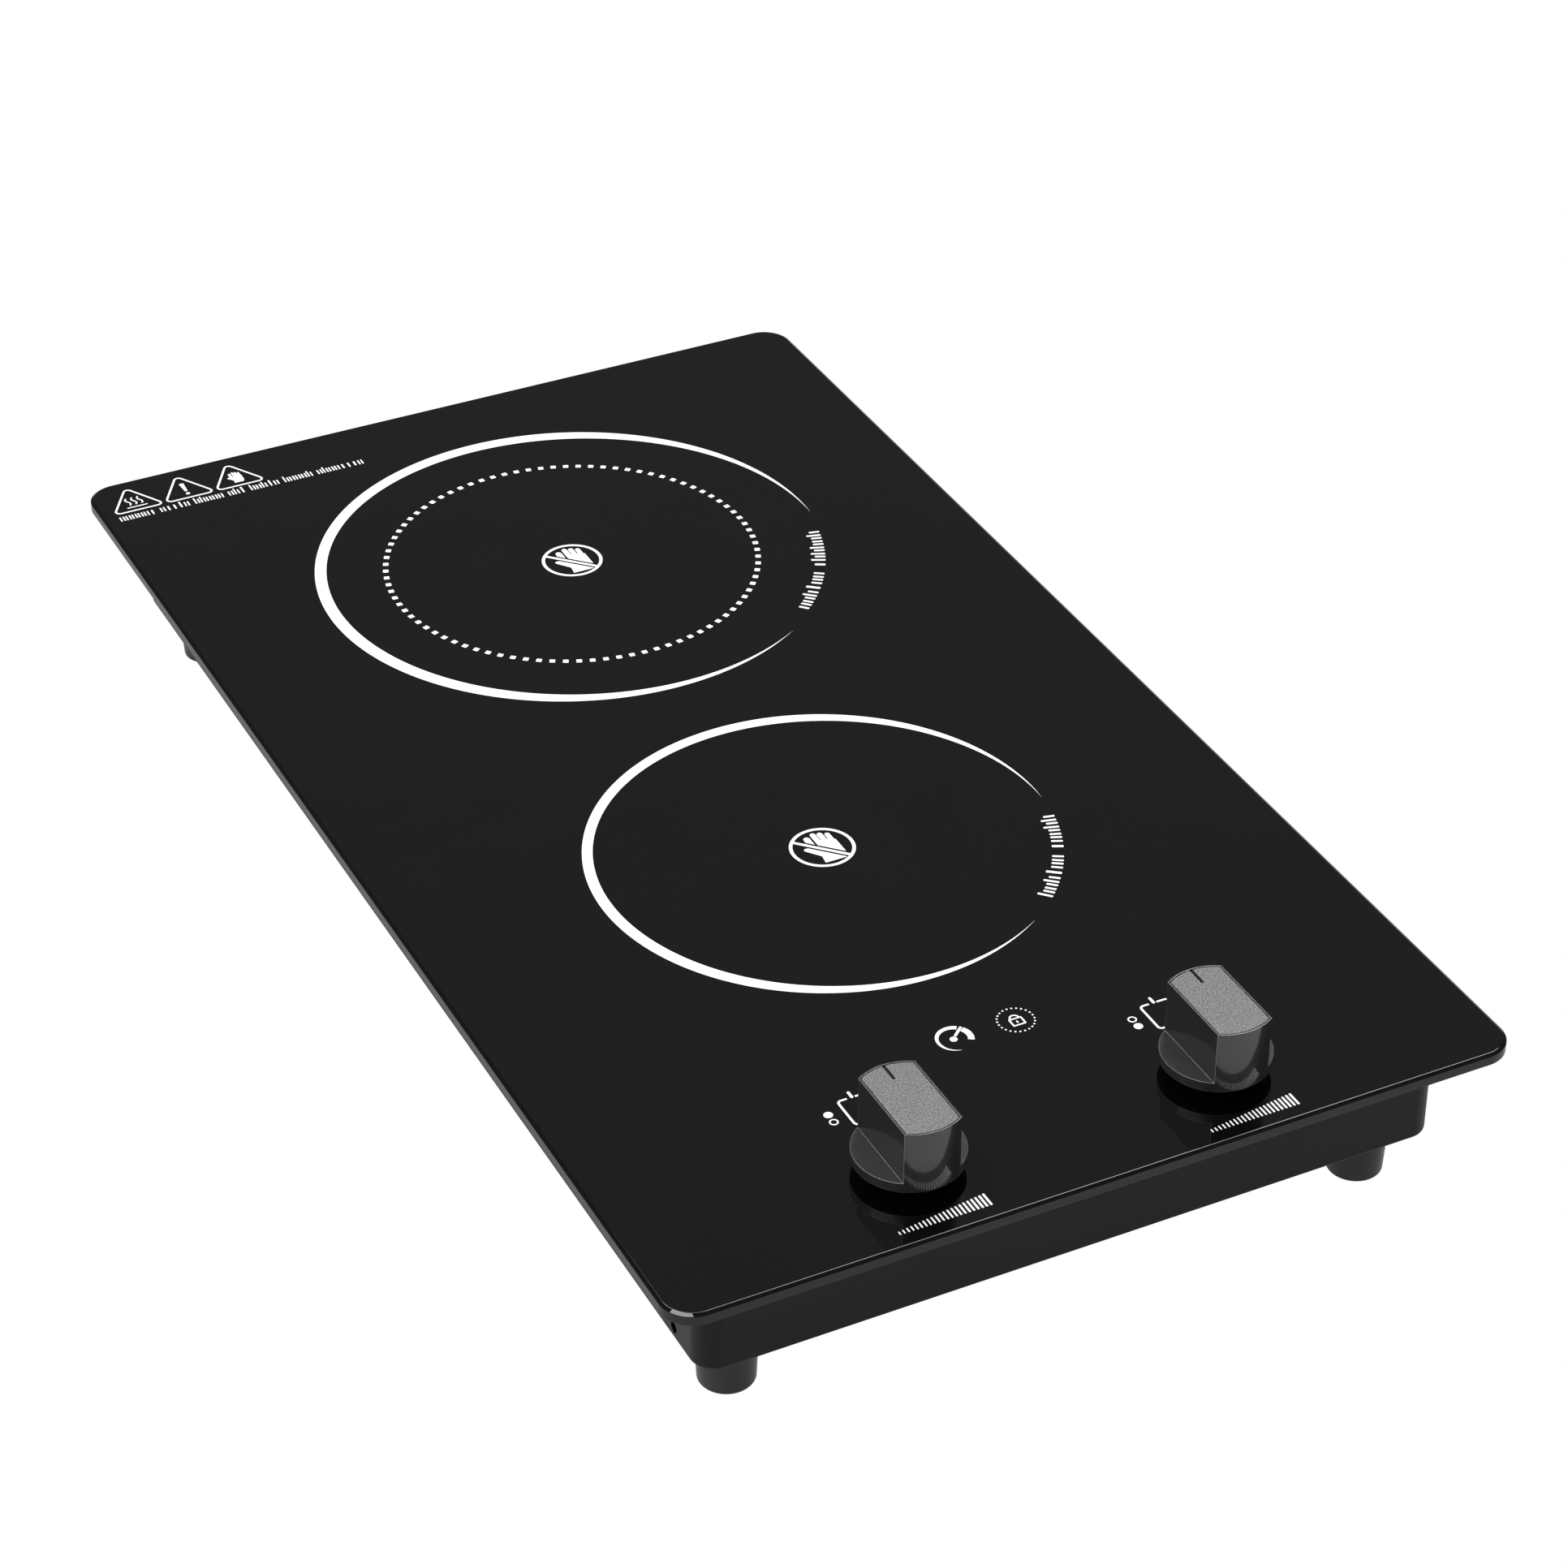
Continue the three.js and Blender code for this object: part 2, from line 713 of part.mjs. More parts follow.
function shaft() {
  const round = cylinder(shaftRadius, shaftBottom, hubBottom, 20);
  const flatted = flattedBar(shaftRadius, shaftRadius - shaftFlat, hubBottom - 1, shaftTop);
  return join(round, flatted);
}

// The grip seen from above: two flats joined by round ends that follow the dial.
function gripOutline(inset) {
  const half = gripHalfWidth - inset;
  const radius = knobRadius - inset;
  const corner = Math.acos(half / radius);
  const outline = new THREE.Shape();
  outline.absarc(0, 0, radius, corner, Math.PI - corner);
  outline.absarc(0, 0, radius, Math.PI + corner, 2 * Math.PI - corner);
  return outline;
}

const gripSegments = 5; // on each round end, doubled by the curve sampler

function knobBody() {
  const dial = turned(
    [
      [0, hubBottom], [hubRadius, hubBottom], [hubRadius, dialBottom], [knobRadius, dialBottom],
      [knobRadius, dialTop], [0, dialTop],
    ],
    48,
  );
  const grip = upwards(gripOutline(0), dialTop, gripHeight, gripSegments);
  const recessFloor = gripTop - insertSink - insertThickness - touch;
  const recess = upwards(gripOutline(gripRim), recessFloor, 5, gripSegments);
  const clipRoom = cylinder(shaftHole + clipThickness + touch, hubBottom - 1, dialTop, 24);
  const socketTop = shaftTop + 1;
  const socket = flattedBar(shaftRadius + touch, shaftRadius - shaftFlat + touch, hubBottom, socketTop);
  return cut(join(dial, grip), recess, clipRoom, socket);
}

function knobInsert() {
  const top = gripTop - insertSink;
  const outline = gripOutline(gripRim + touch);
  const plate = upwards(outline, top - insertThickness, insertThickness, gripSegments);
  const mark = box(markWidth, 2 * markLength, 4, 0, knobRadius - gripRim - touch, top - 2);
  return cut(plate, mark);
}

// A split spring ring that grips the shaft inside the hub.
function knobClip() {
  const outline = new THREE.Shape();
  const open = 0.5;
  const start = -Math.PI / 2 + open;
  const end = 1.5 * Math.PI - open;
  outline.absarc(0, 0, shaftHole + clipThickness, start, end);
  outline.absarc(0, 0, shaftHole, end, start, true);
  return upwards(outline, hubBottom + touch, dialTop - hubBottom - 2 * touch, 8);
}

// ---- Control board ----

function boardCarrier() {
  const [width, depth] = boardSize;
  const postX = width / 2 - 4;
  const postY = depth / 2 - 4;
  const base = box(width, depth, 2, 0, 0, onFloor);
  const posts = [];
  for (const x of [-postX, postX]) {
    for (const y of [-postY, postY]) {
      posts.push(cylinder(3, onFloor + 1, boardBottom - touch, 12).translate(x, y, 0));
    }
  }
  return join(base, ...posts);
}

// A coiled contact that presses on the underside of the glass.
function touchSpring() {
  const turns = 3;
  const wire = 0.5;
  const radius = 4;
  const low = boardTop + touch + wire;
  const high = underGlass - wire;
  const points = [];
  const steps = turns * 9;
  for (let i = 0; i <= steps; i += 1) {
    const angle = (i / steps) * turns * 2 * Math.PI;
    const height = low + ((high - low) * i) / steps;
    points.push(new THREE.Vector3(radius * Math.cos(angle), radius * Math.sin(angle), height));
  }
  return wireAlong(points, wire, steps);
}

function wireAlong(points, radius, steps) {
  const section = polygon(
    Array.from({ length: 6 }, (_, i) => {
      const angle = (i * Math.PI) / 3;
      return [radius * Math.cos(angle), radius * Math.sin(angle)];
    }),
  );
  const path = new THREE.CatmullRomCurve3(points);
  return new THREE.ExtrudeGeometry(section, { steps, bevelEnabled: false, extrudePath: path });
}

function indicatorLamp() {
  const foot = boardTop + touch;
  const top = underGlass - 0.5;
  return turned(
    [
      [0, foot], [3, foot], [3, top - 6], [2.5, top - 6], [2.5, top - 2],
      [1.8, top - 0.6], [0, top],
    ],
    16,
  );
}

// ---- Wires ----

// Both wires follow the right-hand wall, one above the other.
function addWires() {
  const start = onFloor + 6;
  const lower = onFloor + railHeight + 4;
  const upper = lower + 5;
  const side = casingHalfWidth - sheet - 8;
  const boardRear = boardY + boardSize[1] / 2 + 5;
  const regulatorRear = knobY + regulatorOffsetY + regulatorSize[1] / 2 + 3;
  const blockFront = terminalY - terminalSize[1] / 2 - 3;
  const block = glandX + 10;
  const routes = {
    wire_to_right_regulator: [
      [block + terminalPitch, blockFront, start], [side, rearZoneY + 45, upper],
      [side, rearZoneY - 73, upper], [side, frontZoneY + 9, upper], [side, boardRear + 7, upper],
      [side - 6, boardRear - 33, upper], [knobs[1].x + 8, regulatorRear, upper],
    ],
    wire_to_left_regulator: [
      [block - 2, blockFront, start], [side, rearZoneY + 37, lower], [side, rearZoneY - 73, lower],
      [side, frontZoneY + 9, lower], [side - 8, boardRear + 17, lower], [70, boardRear, lower],
      [-40, boardRear, lower], [-64, boardRear - 12, lower], [knobs[0].x - 8, regulatorRear, lower + 3],
    ],
  };
  for (const [name, places] of Object.entries(routes)) {
    const points = places.map(([x, y, z]) => new THREE.Vector3(x, y, z));
    addPart(name, wireAlong(points, wireRadius, 34), wireJacket);
  }
}

// ---- Assembly ----

addPart("glass_plate", glassPlate(), ceramicGlass);
addPart("glass_seal", glassSeal(), silicone);
addPart("top_frame", topFrame(), blackPaint);
addPart("casing_tray", casingTray(), blackPaint);
for (const { corner, x, y } of footPlaces()) {
  addPart(`foot_${corner}`, foot(), footPlastic, x, y);
  addPart(`foot_screw_${corner}`, footScrew(), zincSteel, x, y);
}
addPart("cord_gland", cordGland(), blackPlastic, glandX, casingRear, wallMiddle);
addPart("terminal_block", terminalBlock(), steatite, glandX + 10, terminalY, onFloor);

addRearHeater();
addFrontHeater();
addSupports("rear", zoneX, rearZoneY, rearPanRadius);
addSupports("front", zoneX, frontZoneY, frontPanRadius);

addPart("control_bracket", controlBracket(), zincSteel, 0, bracketY, onFloor);
for (const { side, x } of knobs) {
  addPart(`${side}_regulator`, regulator(), phenolic, x, knobY);
  addPart(`${side}_regulator_nut`, hexNut(), brass, x, knobY, bracketTop + touch);
  addPart(`${side}_shaft_seal`, shaftSeal(), silicone, x, knobY);
  addPart(`${side}_shaft`, shaft(), brushedSteel, x, knobY);
  addPart(`${side}_knob_body`, knobBody(), blackPlastic, x, knobY);
  addPart(`${side}_knob_insert`, knobInsert(), brushedSteel, x, knobY);
  addPart(`${side}_knob_clip`, knobClip(), springSteel, x, knobY);
}

const [boardWidth, boardDepth, boardThickness] = boardSize;
const onBoard = boardTop + touch;
addPart("board_carrier", boardCarrier(), blackPlastic, 0, boardY);
addPart("control_board", box(boardWidth, boardDepth, boardThickness), boardGreen, 0, boardY, boardBottom);
addPart("touch_spring", touchSpring(), springSteel, lockX, padY);
addPart("indicator_lamp", indicatorLamp(), lampRed, lampX, padY);
for (const [side, x] of [["left", -relayX], ["right", relayX]]) {
  addPart(`${side}_relay`, box(...relaySize), relayBlue, x, boardY - 4, onBoard);
}

addWires();

export default cooktop;
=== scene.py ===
# %% [markdown]
# # A two-zone glass cooktop
#
# The real thing is a black glass plate that lies on a shallow steel casing with four round feet. Two cooking zones are
# printed on the glass in white enamel, and two grip knobs stand at the front edge.
#
# The measured model from the CAD comes first.

import json
import math
import random
from contextlib import contextmanager

import bmesh
import bpy
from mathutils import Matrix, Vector


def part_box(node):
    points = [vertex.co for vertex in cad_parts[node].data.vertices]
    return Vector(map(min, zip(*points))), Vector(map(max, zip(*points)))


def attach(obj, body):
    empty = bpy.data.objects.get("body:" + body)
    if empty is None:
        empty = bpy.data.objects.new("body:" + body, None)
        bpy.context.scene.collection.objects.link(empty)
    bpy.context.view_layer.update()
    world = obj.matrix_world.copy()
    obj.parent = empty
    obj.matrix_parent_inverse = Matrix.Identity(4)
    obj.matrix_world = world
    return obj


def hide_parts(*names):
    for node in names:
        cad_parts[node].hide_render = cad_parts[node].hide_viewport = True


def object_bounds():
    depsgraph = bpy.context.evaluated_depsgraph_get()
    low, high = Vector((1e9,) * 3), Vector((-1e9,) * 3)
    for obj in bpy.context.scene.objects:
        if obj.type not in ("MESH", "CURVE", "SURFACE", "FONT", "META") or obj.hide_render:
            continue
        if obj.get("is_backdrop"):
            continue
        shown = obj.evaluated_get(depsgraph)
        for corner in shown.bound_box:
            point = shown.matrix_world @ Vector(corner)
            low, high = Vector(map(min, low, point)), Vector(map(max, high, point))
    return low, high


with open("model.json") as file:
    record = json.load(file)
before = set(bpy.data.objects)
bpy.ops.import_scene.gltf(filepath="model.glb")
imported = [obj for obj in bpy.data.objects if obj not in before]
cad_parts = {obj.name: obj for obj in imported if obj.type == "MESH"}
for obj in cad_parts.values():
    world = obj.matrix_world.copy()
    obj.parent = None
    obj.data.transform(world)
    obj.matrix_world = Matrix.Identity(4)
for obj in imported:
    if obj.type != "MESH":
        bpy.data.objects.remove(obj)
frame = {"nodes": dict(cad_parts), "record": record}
cad_low, cad_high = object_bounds()
print("parts:", len(frame["nodes"]), "size in metres:", [round(s, 4) for s in cad_high - cad_low])

# %% [markdown]
# ## A small workbench
#
# Modelling from code is modelling by hand with the mouse taken away: an operator works on what is selected, in the
# mode that is active. So every tool here starts by saying what is selected. `pick` stands in for clicking: it
# selects the corners, edges or faces that pass a test on their place. Lengths are in metres, as in the CAD frame.

# %% Selecting, and going in and out of edit mode
def only(piece):
    bpy.ops.object.select_all(action="DESELECT")
    piece.select_set(True)
    bpy.context.view_layer.objects.active = piece


@contextmanager
def editing(piece):
    only(piece)
    bpy.ops.object.mode_set(mode="EDIT")
    yield
    bpy.ops.object.mode_set(mode="OBJECT")


def pick(piece, kind, test):
    bpy.ops.mesh.select_mode(type=kind)
    bpy.ops.mesh.select_all(action="DESELECT")
    mesh = bmesh.from_edit_mesh(piece.data)
    items = {"VERT": mesh.verts, "EDGE": mesh.edges, "FACE": mesh.faces}[kind]
    for item in items:
        item.select_set(test(item))
    mesh.select_flush_mode()
    bmesh.update_edit_mesh(piece.data)


def at_height(item, height, slack=1e-6):
    corners = [item] if hasattr(item, "co") else item.verts
    return all(abs(v.co.z - height) < slack for v in corners)


def upright(edge):
    a, b = (v.co for v in edge.verts)
    return abs(a.x - b.x) + abs(a.y - b.y) < 1e-7


def middle(node):
    low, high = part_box(node)
    return (low + high) / 2


# %% Primitives at their size and place
def settled(name):
    piece = bpy.context.object
    piece.name = piece.data.name = name
    bpy.ops.object.transform_apply(location=True, rotation=True, scale=True)
    return piece


def block(name, low, high, turn=0.0):
    low, high = Vector(low), Vector(high)
    bpy.ops.object.select_all(action="DESELECT")
    bpy.ops.mesh.primitive_cube_add(
        size=1, location=(low + high) / 2, rotation=(0, 0, turn), scale=high - low
    )
    return settled(name)


def disc(name, x, y, low, high, radius, around=96):
    bpy.ops.object.select_all(action="DESELECT")
    bpy.ops.mesh.primitive_cylinder_add(
        vertices=around, radius=radius, depth=high - low, location=(x, y, (low + high) / 2)
    )
    return settled(name)


def joined(pieces, name):
    only(pieces[0])
    for piece in pieces[1:]:
        piece.select_set(True)
    if len(pieces) > 1:
        bpy.ops.object.join()
    return settled(name)


def copied(piece, name, shift):
    only(piece)
    bpy.ops.object.duplicate(linked=False)
    bpy.context.object.location = shift
    return settled(name)


# %% Modifiers that are applied at once
PAST = 0.001  # how far a cutting tool reaches past the faces that it cuts


def apply_modifier(piece, kind, **settings):
    only(piece)
    modifier = piece.modifiers.new(kind.lower(), kind)
    for name, value in settings.items():
        setattr(modifier, name, value)
    bpy.ops.object.modifier_apply(modifier=modifier.name)


def cut(piece, tools, operation="DIFFERENCE"):
    tool = joined(tools, "cutter")
    apply_modifier(piece, "BOOLEAN", object=tool, operation=operation, solver="EXACT")
    bpy.data.objects.remove(tool)
    return piece


def soften(piece, width, steps=2, angle=30, own_finish=False):
    """Rounds the sharp edges a little, and lets the flat faces keep their own shading.

    With own_finish the rounding takes the second of two new material slots.
    """
    if own_finish:
        piece.data.materials.append(None)
        piece.data.materials.append(None)
    apply_modifier(
        piece, "BEVEL", width=width, segments=steps, limit_method="ANGLE",
        angle_limit=math.radians(angle), use_clamp_overlap=True, material=1 if own_finish else -1,
    )
    only(piece)
    bpy.ops.object.shade_smooth()
    apply_modifier(piece, "WEIGHTED_NORMAL", mode="FACE_AREA", weight=80, keep_sharp=False)
    return piece


def tidy_shell(piece):
    with editing(piece):
        bpy.ops.mesh.select_all(action="SELECT")
        bpy.ops.mesh.remove_doubles(threshold=1e-7)
        bpy.ops.mesh.normals_make_consistent(inside=False)
    return piece


def report(piece):
    size = [round(s * 1000, 2) for s in piece.dimensions]
    print(f"{piece.name}: {len(piece.data.polygons)} faces, {size} mm")


# %% [markdown]
# ## The glass plate
#
# The plate is 4 mm glass-ceramic, black right through. Its top edge is ground to a narrow slope all the way round,
# and that slope is what draws the dark line and the bright line along the front of the real plate. It could be one
# bevel, but a ground edge is wider than it is deep, so the top face is inset and lifted instead. The two knob
# shafts come up through round holes. A very small rounding on every edge then catches the light.

# %% Model the glass
GLASS_CORNER = 0.011
GROUND_RUN = 0.00115
GROUND_DROP = 0.0007
SHAFT_HOLE = 0.007
GLASS_ROUNDING = 0.00014

glass_low, glass_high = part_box("glass_plate")
GLASS_TOP = glass_high.z
shoulder = GLASS_TOP - GROUND_DROP
glass = block("ceramic_glass", glass_low, (glass_high.x, glass_high.y, shoulder))
with editing(glass):
    pick(glass, "EDGE", upright)
    bpy.ops.mesh.bevel(offset=GLASS_CORNER, segments=24, affect="EDGES")
    pick(glass, "FACE", lambda face: at_height(face, shoulder))
    bpy.ops.mesh.inset(thickness=GROUND_RUN, depth=GROUND_DROP)
knob_places = {side: middle(f"{side}_knob_body") for side in ("left", "right")}
cut(glass, [
    disc("hole", place.x, place.y, glass_low.z - PAST, GLASS_TOP + PAST, SHAFT_HOLE, 64)
    for place in knob_places.values()
])
soften(glass, GLASS_ROUNDING, steps=3, angle=20)
report(glass)

# %% [markdown]
# ## The casing
#
# The casing is a tray pressed from 1 mm steel and powder-coated black. A tray could be drawn as two boxes, one cut
# from the other. Here the outside is shaped first and Solidify gives it the thickness of the sheet, as a press does.
# Then the openings are punched: air slots in the floor and in the rear wall, a small drain hole near each corner of
# the side walls, the screw holes for the feet and the round hole for the cord gland.

# %% Press the tray
SHEET = 0.001
GAP = 0.0003  # room that is left around a piece that fits into another
TRAY_CORNER = 0.008
TRAY_FOLD = 0.0012
TRAY_ROUNDING = 0.00012

tray_low, tray_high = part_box("casing_tray")
tray = block("casing_shell", tray_low, tray_high)
with editing(tray):
    pick(tray, "EDGE", upright)
    bpy.ops.mesh.bevel(offset=TRAY_CORNER, segments=16, affect="EDGES")
    pick(tray, "EDGE", lambda edge: at_height(edge, tray_low.z))
    bpy.ops.mesh.bevel(offset=TRAY_FOLD, segments=5, affect="EDGES")
    pick(tray, "FACE", lambda face: at_height(face, tray_high.z))
    bpy.ops.mesh.delete(type="FACE")
apply_modifier(tray, "SOLIDIFY", thickness=SHEET, offset=-1, use_even_offset=True)
report(tray)

# %% Punch the openings
SLOT = (0.005, 0.046)
SLOT_PITCH = 0.015
ZONE_SLOTS, BOARD_SLOTS = 9, 4
BOARD_SLOTS_SHIFT = -0.013
REAR_SLOT = (0.0035, 0.012)
REAR_SLOT_PITCH = 0.01
REAR_SLOTS = 7
REAR_SLOTS_X = -0.045
SLOT_ROUND = 0.49  # share of the slot's width, so that the two corners of an end almost meet
DRAIN_RADIUS = 0.0019
DRAIN_LIFT = 0.0044
DRAIN_INSET = 0.019
SCREW_HOLE = 0.0023
GLAND_HOLE = 0.0073
DRILL_LENGTH = 0.01


def slot_cutter(low, high, width, test):
    """A block with round ends. The test picks the four edges that run through the sheet."""
    slot = block("slot", low, high)
    with editing(slot):
        pick(slot, "EDGE", test)
        bpy.ops.mesh.bevel(offset=width * SLOT_ROUND, segments=6, affect="EDGES")
    return slot


def floor_slot(x, y):
    width, length = SLOT
    low = (x - width / 2, y - length / 2, tray_low.z - SHEET)
    high = (x + width / 2, y + length / 2, tray_low.z + 2 * SHEET)
    return slot_cutter(low, high, width, upright)


def rear_slot(x, z):
    width, length = REAR_SLOT
    low = (x - width / 2, tray_high.y - 3 * SHEET, z - length / 2)
    high = (x + width / 2, tray_high.y + SHEET, z + length / 2)
    return slot_cutter(low, high, width, lambda edge: abs(edge.verts[0].co.y - edge.verts[1].co.y) > SHEET)


def round_hole(place, axis, radius, length, around=40):
    turns = {"X": (0, math.pi / 2, 0), "Y": (math.pi / 2, 0, 0), "Z": (0, 0, 0)}
    bpy.ops.object.select_all(action="DESELECT")
    bpy.ops.mesh.primitive_cylinder_add(
        vertices=around, radius=radius, depth=length, location=place, rotation=turns[axis]
    )
    return settled("hole")


wall_middle = (tray_low.z + tray_high.z) / 2
rear_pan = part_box("rear_heater_pan")
front_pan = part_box("front_heater_pan")
between_zones = (rear_pan[0].y + front_pan[1].y) / 2
under_board = middle("control_board").y + BOARD_SLOTS_SHIFT
gland_x = middle("cord_gland").x


def in_row(count):
    """Steps to the left and right of a row's middle."""
    return [i - (count - 1) / 2 for i in range(count)]


openings = []
for y, count in ((between_zones, ZONE_SLOTS), (under_board, BOARD_SLOTS)):
    openings += [floor_slot(step * SLOT_PITCH, y) for step in in_row(count)]
openings += [rear_slot(REAR_SLOTS_X + step * REAR_SLOT_PITCH, wall_middle) for step in in_row(REAR_SLOTS)]
for y in (tray_low.y + DRAIN_INSET, tray_high.y - DRAIN_INSET):
    across = 2 * tray_high.x + 2 * DRILL_LENGTH
    openings.append(round_hole((0, y, tray_low.z + DRAIN_LIFT), "X", DRAIN_RADIUS, across))
CORNERS = ("front_left", "front_right", "rear_left", "rear_right")
for corner in CORNERS:
    place = middle(f"foot_{corner}")
    openings.append(round_hole((place.x, place.y, tray_low.z), "Z", SCREW_HOLE, DRILL_LENGTH))
openings.append(round_hole((gland_x, tray_high.y, wall_middle), "Y", GLAND_HOLE, DRILL_LENGTH, 64))
print("openings to punch:", len(openings))
cut(tray, openings)
soften(tray, TRAY_ROUNDING, steps=2, angle=35)
report(tray)

# %% [markdown]
# ## Turned shapes
#
# The feet and the cord gland are round. A lathe is easy to imitate: a ring of edges is drawn out upwards, and each
# new ring is given its own radius. The Spin tool would do as well, but this way the list of radii and heights reads
# like the drawing of the part.

# %% A lathe
def lathe(name, profile, x=0.0, y=0.0, around=72):
    """Draws a ring up through (radius, height) steps. A profile that ends on its first step closes on itself."""
    radius, height = profile[0]
    bpy.ops.object.select_all(action="DESELECT")
    bpy.ops.mesh.primitive_circle_add(vertices=around, radius=radius, location=(x, y, height))
    piece = settled(name)
    with editing(piece):
        bpy.ops.mesh.select_all(action="SELECT")
        for next_radius, next_height in profile[1:]:
            rise = (0, 0, next_height - height)
            bpy.ops.mesh.extrude_region_move(TRANSFORM_OT_translate={"value": rise})
            grow = next_radius / radius
            bpy.ops.transform.resize(value=(grow, grow, 1), center_override=(x, y, next_height))
            radius, height = next_radius, next_height
        if profile[-1] != profile[0]:
            for end_radius, end_height in (profile[0], profile[-1]):
                pick(piece, "EDGE", lambda edge: at_height(edge, end_height) and all(
                    abs(math.hypot(v.co.x - x, v.co.y - y) - end_radius) < 1e-6 for v in edge.verts))
                bpy.ops.mesh.edge_face_add()
    return tidy_shell(piece)


# %% [markdown]
# ## The feet
#
# Each foot is one dark plastic moulding, screwed to the casing from inside. It narrows a little towards the table so
# that it comes out of its mould, its lower edge is rounded, and its underside is slightly hollow so that it stands on
# a ring. One foot is modelled and copied to the other corners, each copy with a mesh of its own.

# %% Turn one foot and copy it
FOOT_DRAFT = 0.0009
FOOT_EDGE = 0.0012
FOOT_EDGE_STEPS = 6
FOOT_ROUNDING = 0.00015
SOLE_HOLLOW = 0.0005
HOLLOW_FLOOR, HOLLOW_SIDE = 0.55, 0.72  # shares of the sole's radius
SCREW_DEPTH = 0.011

foot_low, foot_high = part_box("foot_front_left")
foot_x, foot_y = middle("foot_front_left").x, middle("foot_front_left").y
top_radius = (foot_high.x - foot_low.x) / 2
sole_radius = top_radius - FOOT_DRAFT
foot_profile = [
    (sole_radius * HOLLOW_FLOOR, foot_low.z + SOLE_HOLLOW),
    (sole_radius * HOLLOW_SIDE, foot_low.z + SOLE_HOLLOW * 0.8),
    (sole_radius - FOOT_EDGE * 1.35, foot_low.z),
]
for step in range(FOOT_EDGE_STEPS + 1):
    angle = math.radians(90 * step / FOOT_EDGE_STEPS)
    foot_profile.append((
        sole_radius - FOOT_EDGE + FOOT_EDGE * math.sin(angle),
        foot_low.z + FOOT_EDGE - FOOT_EDGE * math.cos(angle),
    ))
foot_profile.append((top_radius, foot_high.z))
first_foot = lathe("foot_moulding_front_left", foot_profile, foot_x, foot_y, around=96)
screw_way = round_hole(
    (foot_x, foot_y, foot_high.z - SCREW_DEPTH / 2 + PAST / 2), "Z", SCREW_HOLE, SCREW_DEPTH + PAST
)
cut(first_foot, [screw_way])
soften(first_foot, FOOT_ROUNDING, steps=2, angle=50)
feet = {"front_left": first_foot}
for corner in CORNERS[1:]:
    shift = middle(f"foot_{corner}") - middle("foot_front_left")
    feet[corner] = copied(first_foot, f"foot_moulding_{corner}", shift)
report(first_foot)

# %% [markdown]
# ## The cord gland
#
# A soft ring snaps into the rear wall, with a lip on each side of the sheet, and guards the hole where the cord goes
# in. It is turned upright and then laid on its side.

# %% Turn the gland
GLAND_BORE = 0.0037
GLAND_NECK = 0.007
GLAND_SLOPE = 0.0013
GLAND_ROUNDING = 0.0001

gland_low, gland_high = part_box("cord_gland")
lip = (gland_high.z - gland_low.z) / 2
inner_face, outer_face = tray_high.y - SHEET - GAP, tray_high.y + GAP
gland_profile = [
    (GLAND_BORE, gland_low.y), (lip - 0.0005, gland_low.y), (lip, gland_low.y + 0.0005),
    (lip, inner_face), (GLAND_NECK, inner_face), (GLAND_NECK, outer_face), (lip, outer_face),
    (lip, gland_high.y - GLAND_SLOPE), (lip - 0.0004, gland_high.y - 0.0004),
    (lip - GLAND_SLOPE, gland_high.y), (GLAND_BORE + 0.0009, gland_high.y),
    (GLAND_BORE + 0.0003, gland_high.y - 0.0003), (GLAND_BORE, gland_high.y - 0.0009),
    (GLAND_BORE, gland_low.y),
]
gland = lathe("cord_gland_ring", gland_profile, around=80)
gland.rotation_euler = (-math.pi / 2, 0, 0)
gland.location = (gland_x, 0, wall_middle)
only(gland)
gland = settled("cord_gland_ring")
soften(gland, GLAND_ROUNDING, steps=2, angle=40)
report(gland)

# %% [markdown]
# ## The knobs
#
# A knob is one moulding: a thin dial, a tall grip across it and a hub underneath that holds the shaft. The grip's
# two ends follow the dial's edge, so the quickest way is the way the toolmaker thinks: turn the whole outline, then
# mill the two sides away down to the dial. The top is sunk for a thin metal plate, which leaves a narrow rim. The
# rounded edges get a light colour of their own on the bevel: a painted highlight for the bright lines along them.

# %% Mould one knob
HUB_RADIUS = 0.009
HUB_DROP = 0.0026
DIAL_THICKNESS = 0.00335
GRIP_HALF_WIDTH = 0.00955
GRIP_RIM = 0.00045
CLIP_ROOM = 0.0052
SOCKET_RADIUS = 0.0033
SOCKET_END = 0.001
KNOB_ROUNDING = 0.00026

knob_low, knob_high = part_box("left_knob_body")
knob_at = knob_places["left"]
knob_radius = (knob_high.x - knob_low.x) / 2
dial_bottom = knob_low.z + HUB_DROP
dial_top = dial_bottom + DIAL_THICKNESS
insert_low, insert_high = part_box("left_knob_insert")
shaft_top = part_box("left_shaft")[1].z

knob = lathe("left_knob_moulding", [
    (HUB_RADIUS, knob_low.z), (HUB_RADIUS, dial_bottom), (knob_radius, dial_bottom),
    (knob_radius, dial_top), (knob_radius, knob_high.z),
], knob_at.x, knob_at.y, around=144)


def beside_grip(half_width, low, high):
    reach = 2 * knob_radius
    sides = []
    for sign in (-1, 1):
        inner, outer = knob_at.x + sign * half_width, knob_at.x + sign * reach
        left, right = min(inner, outer), max(inner, outer)
        sides.append(block(
            "side", (left, knob_at.y - reach, low), (right, knob_at.y + reach, high)
        ))
    return sides


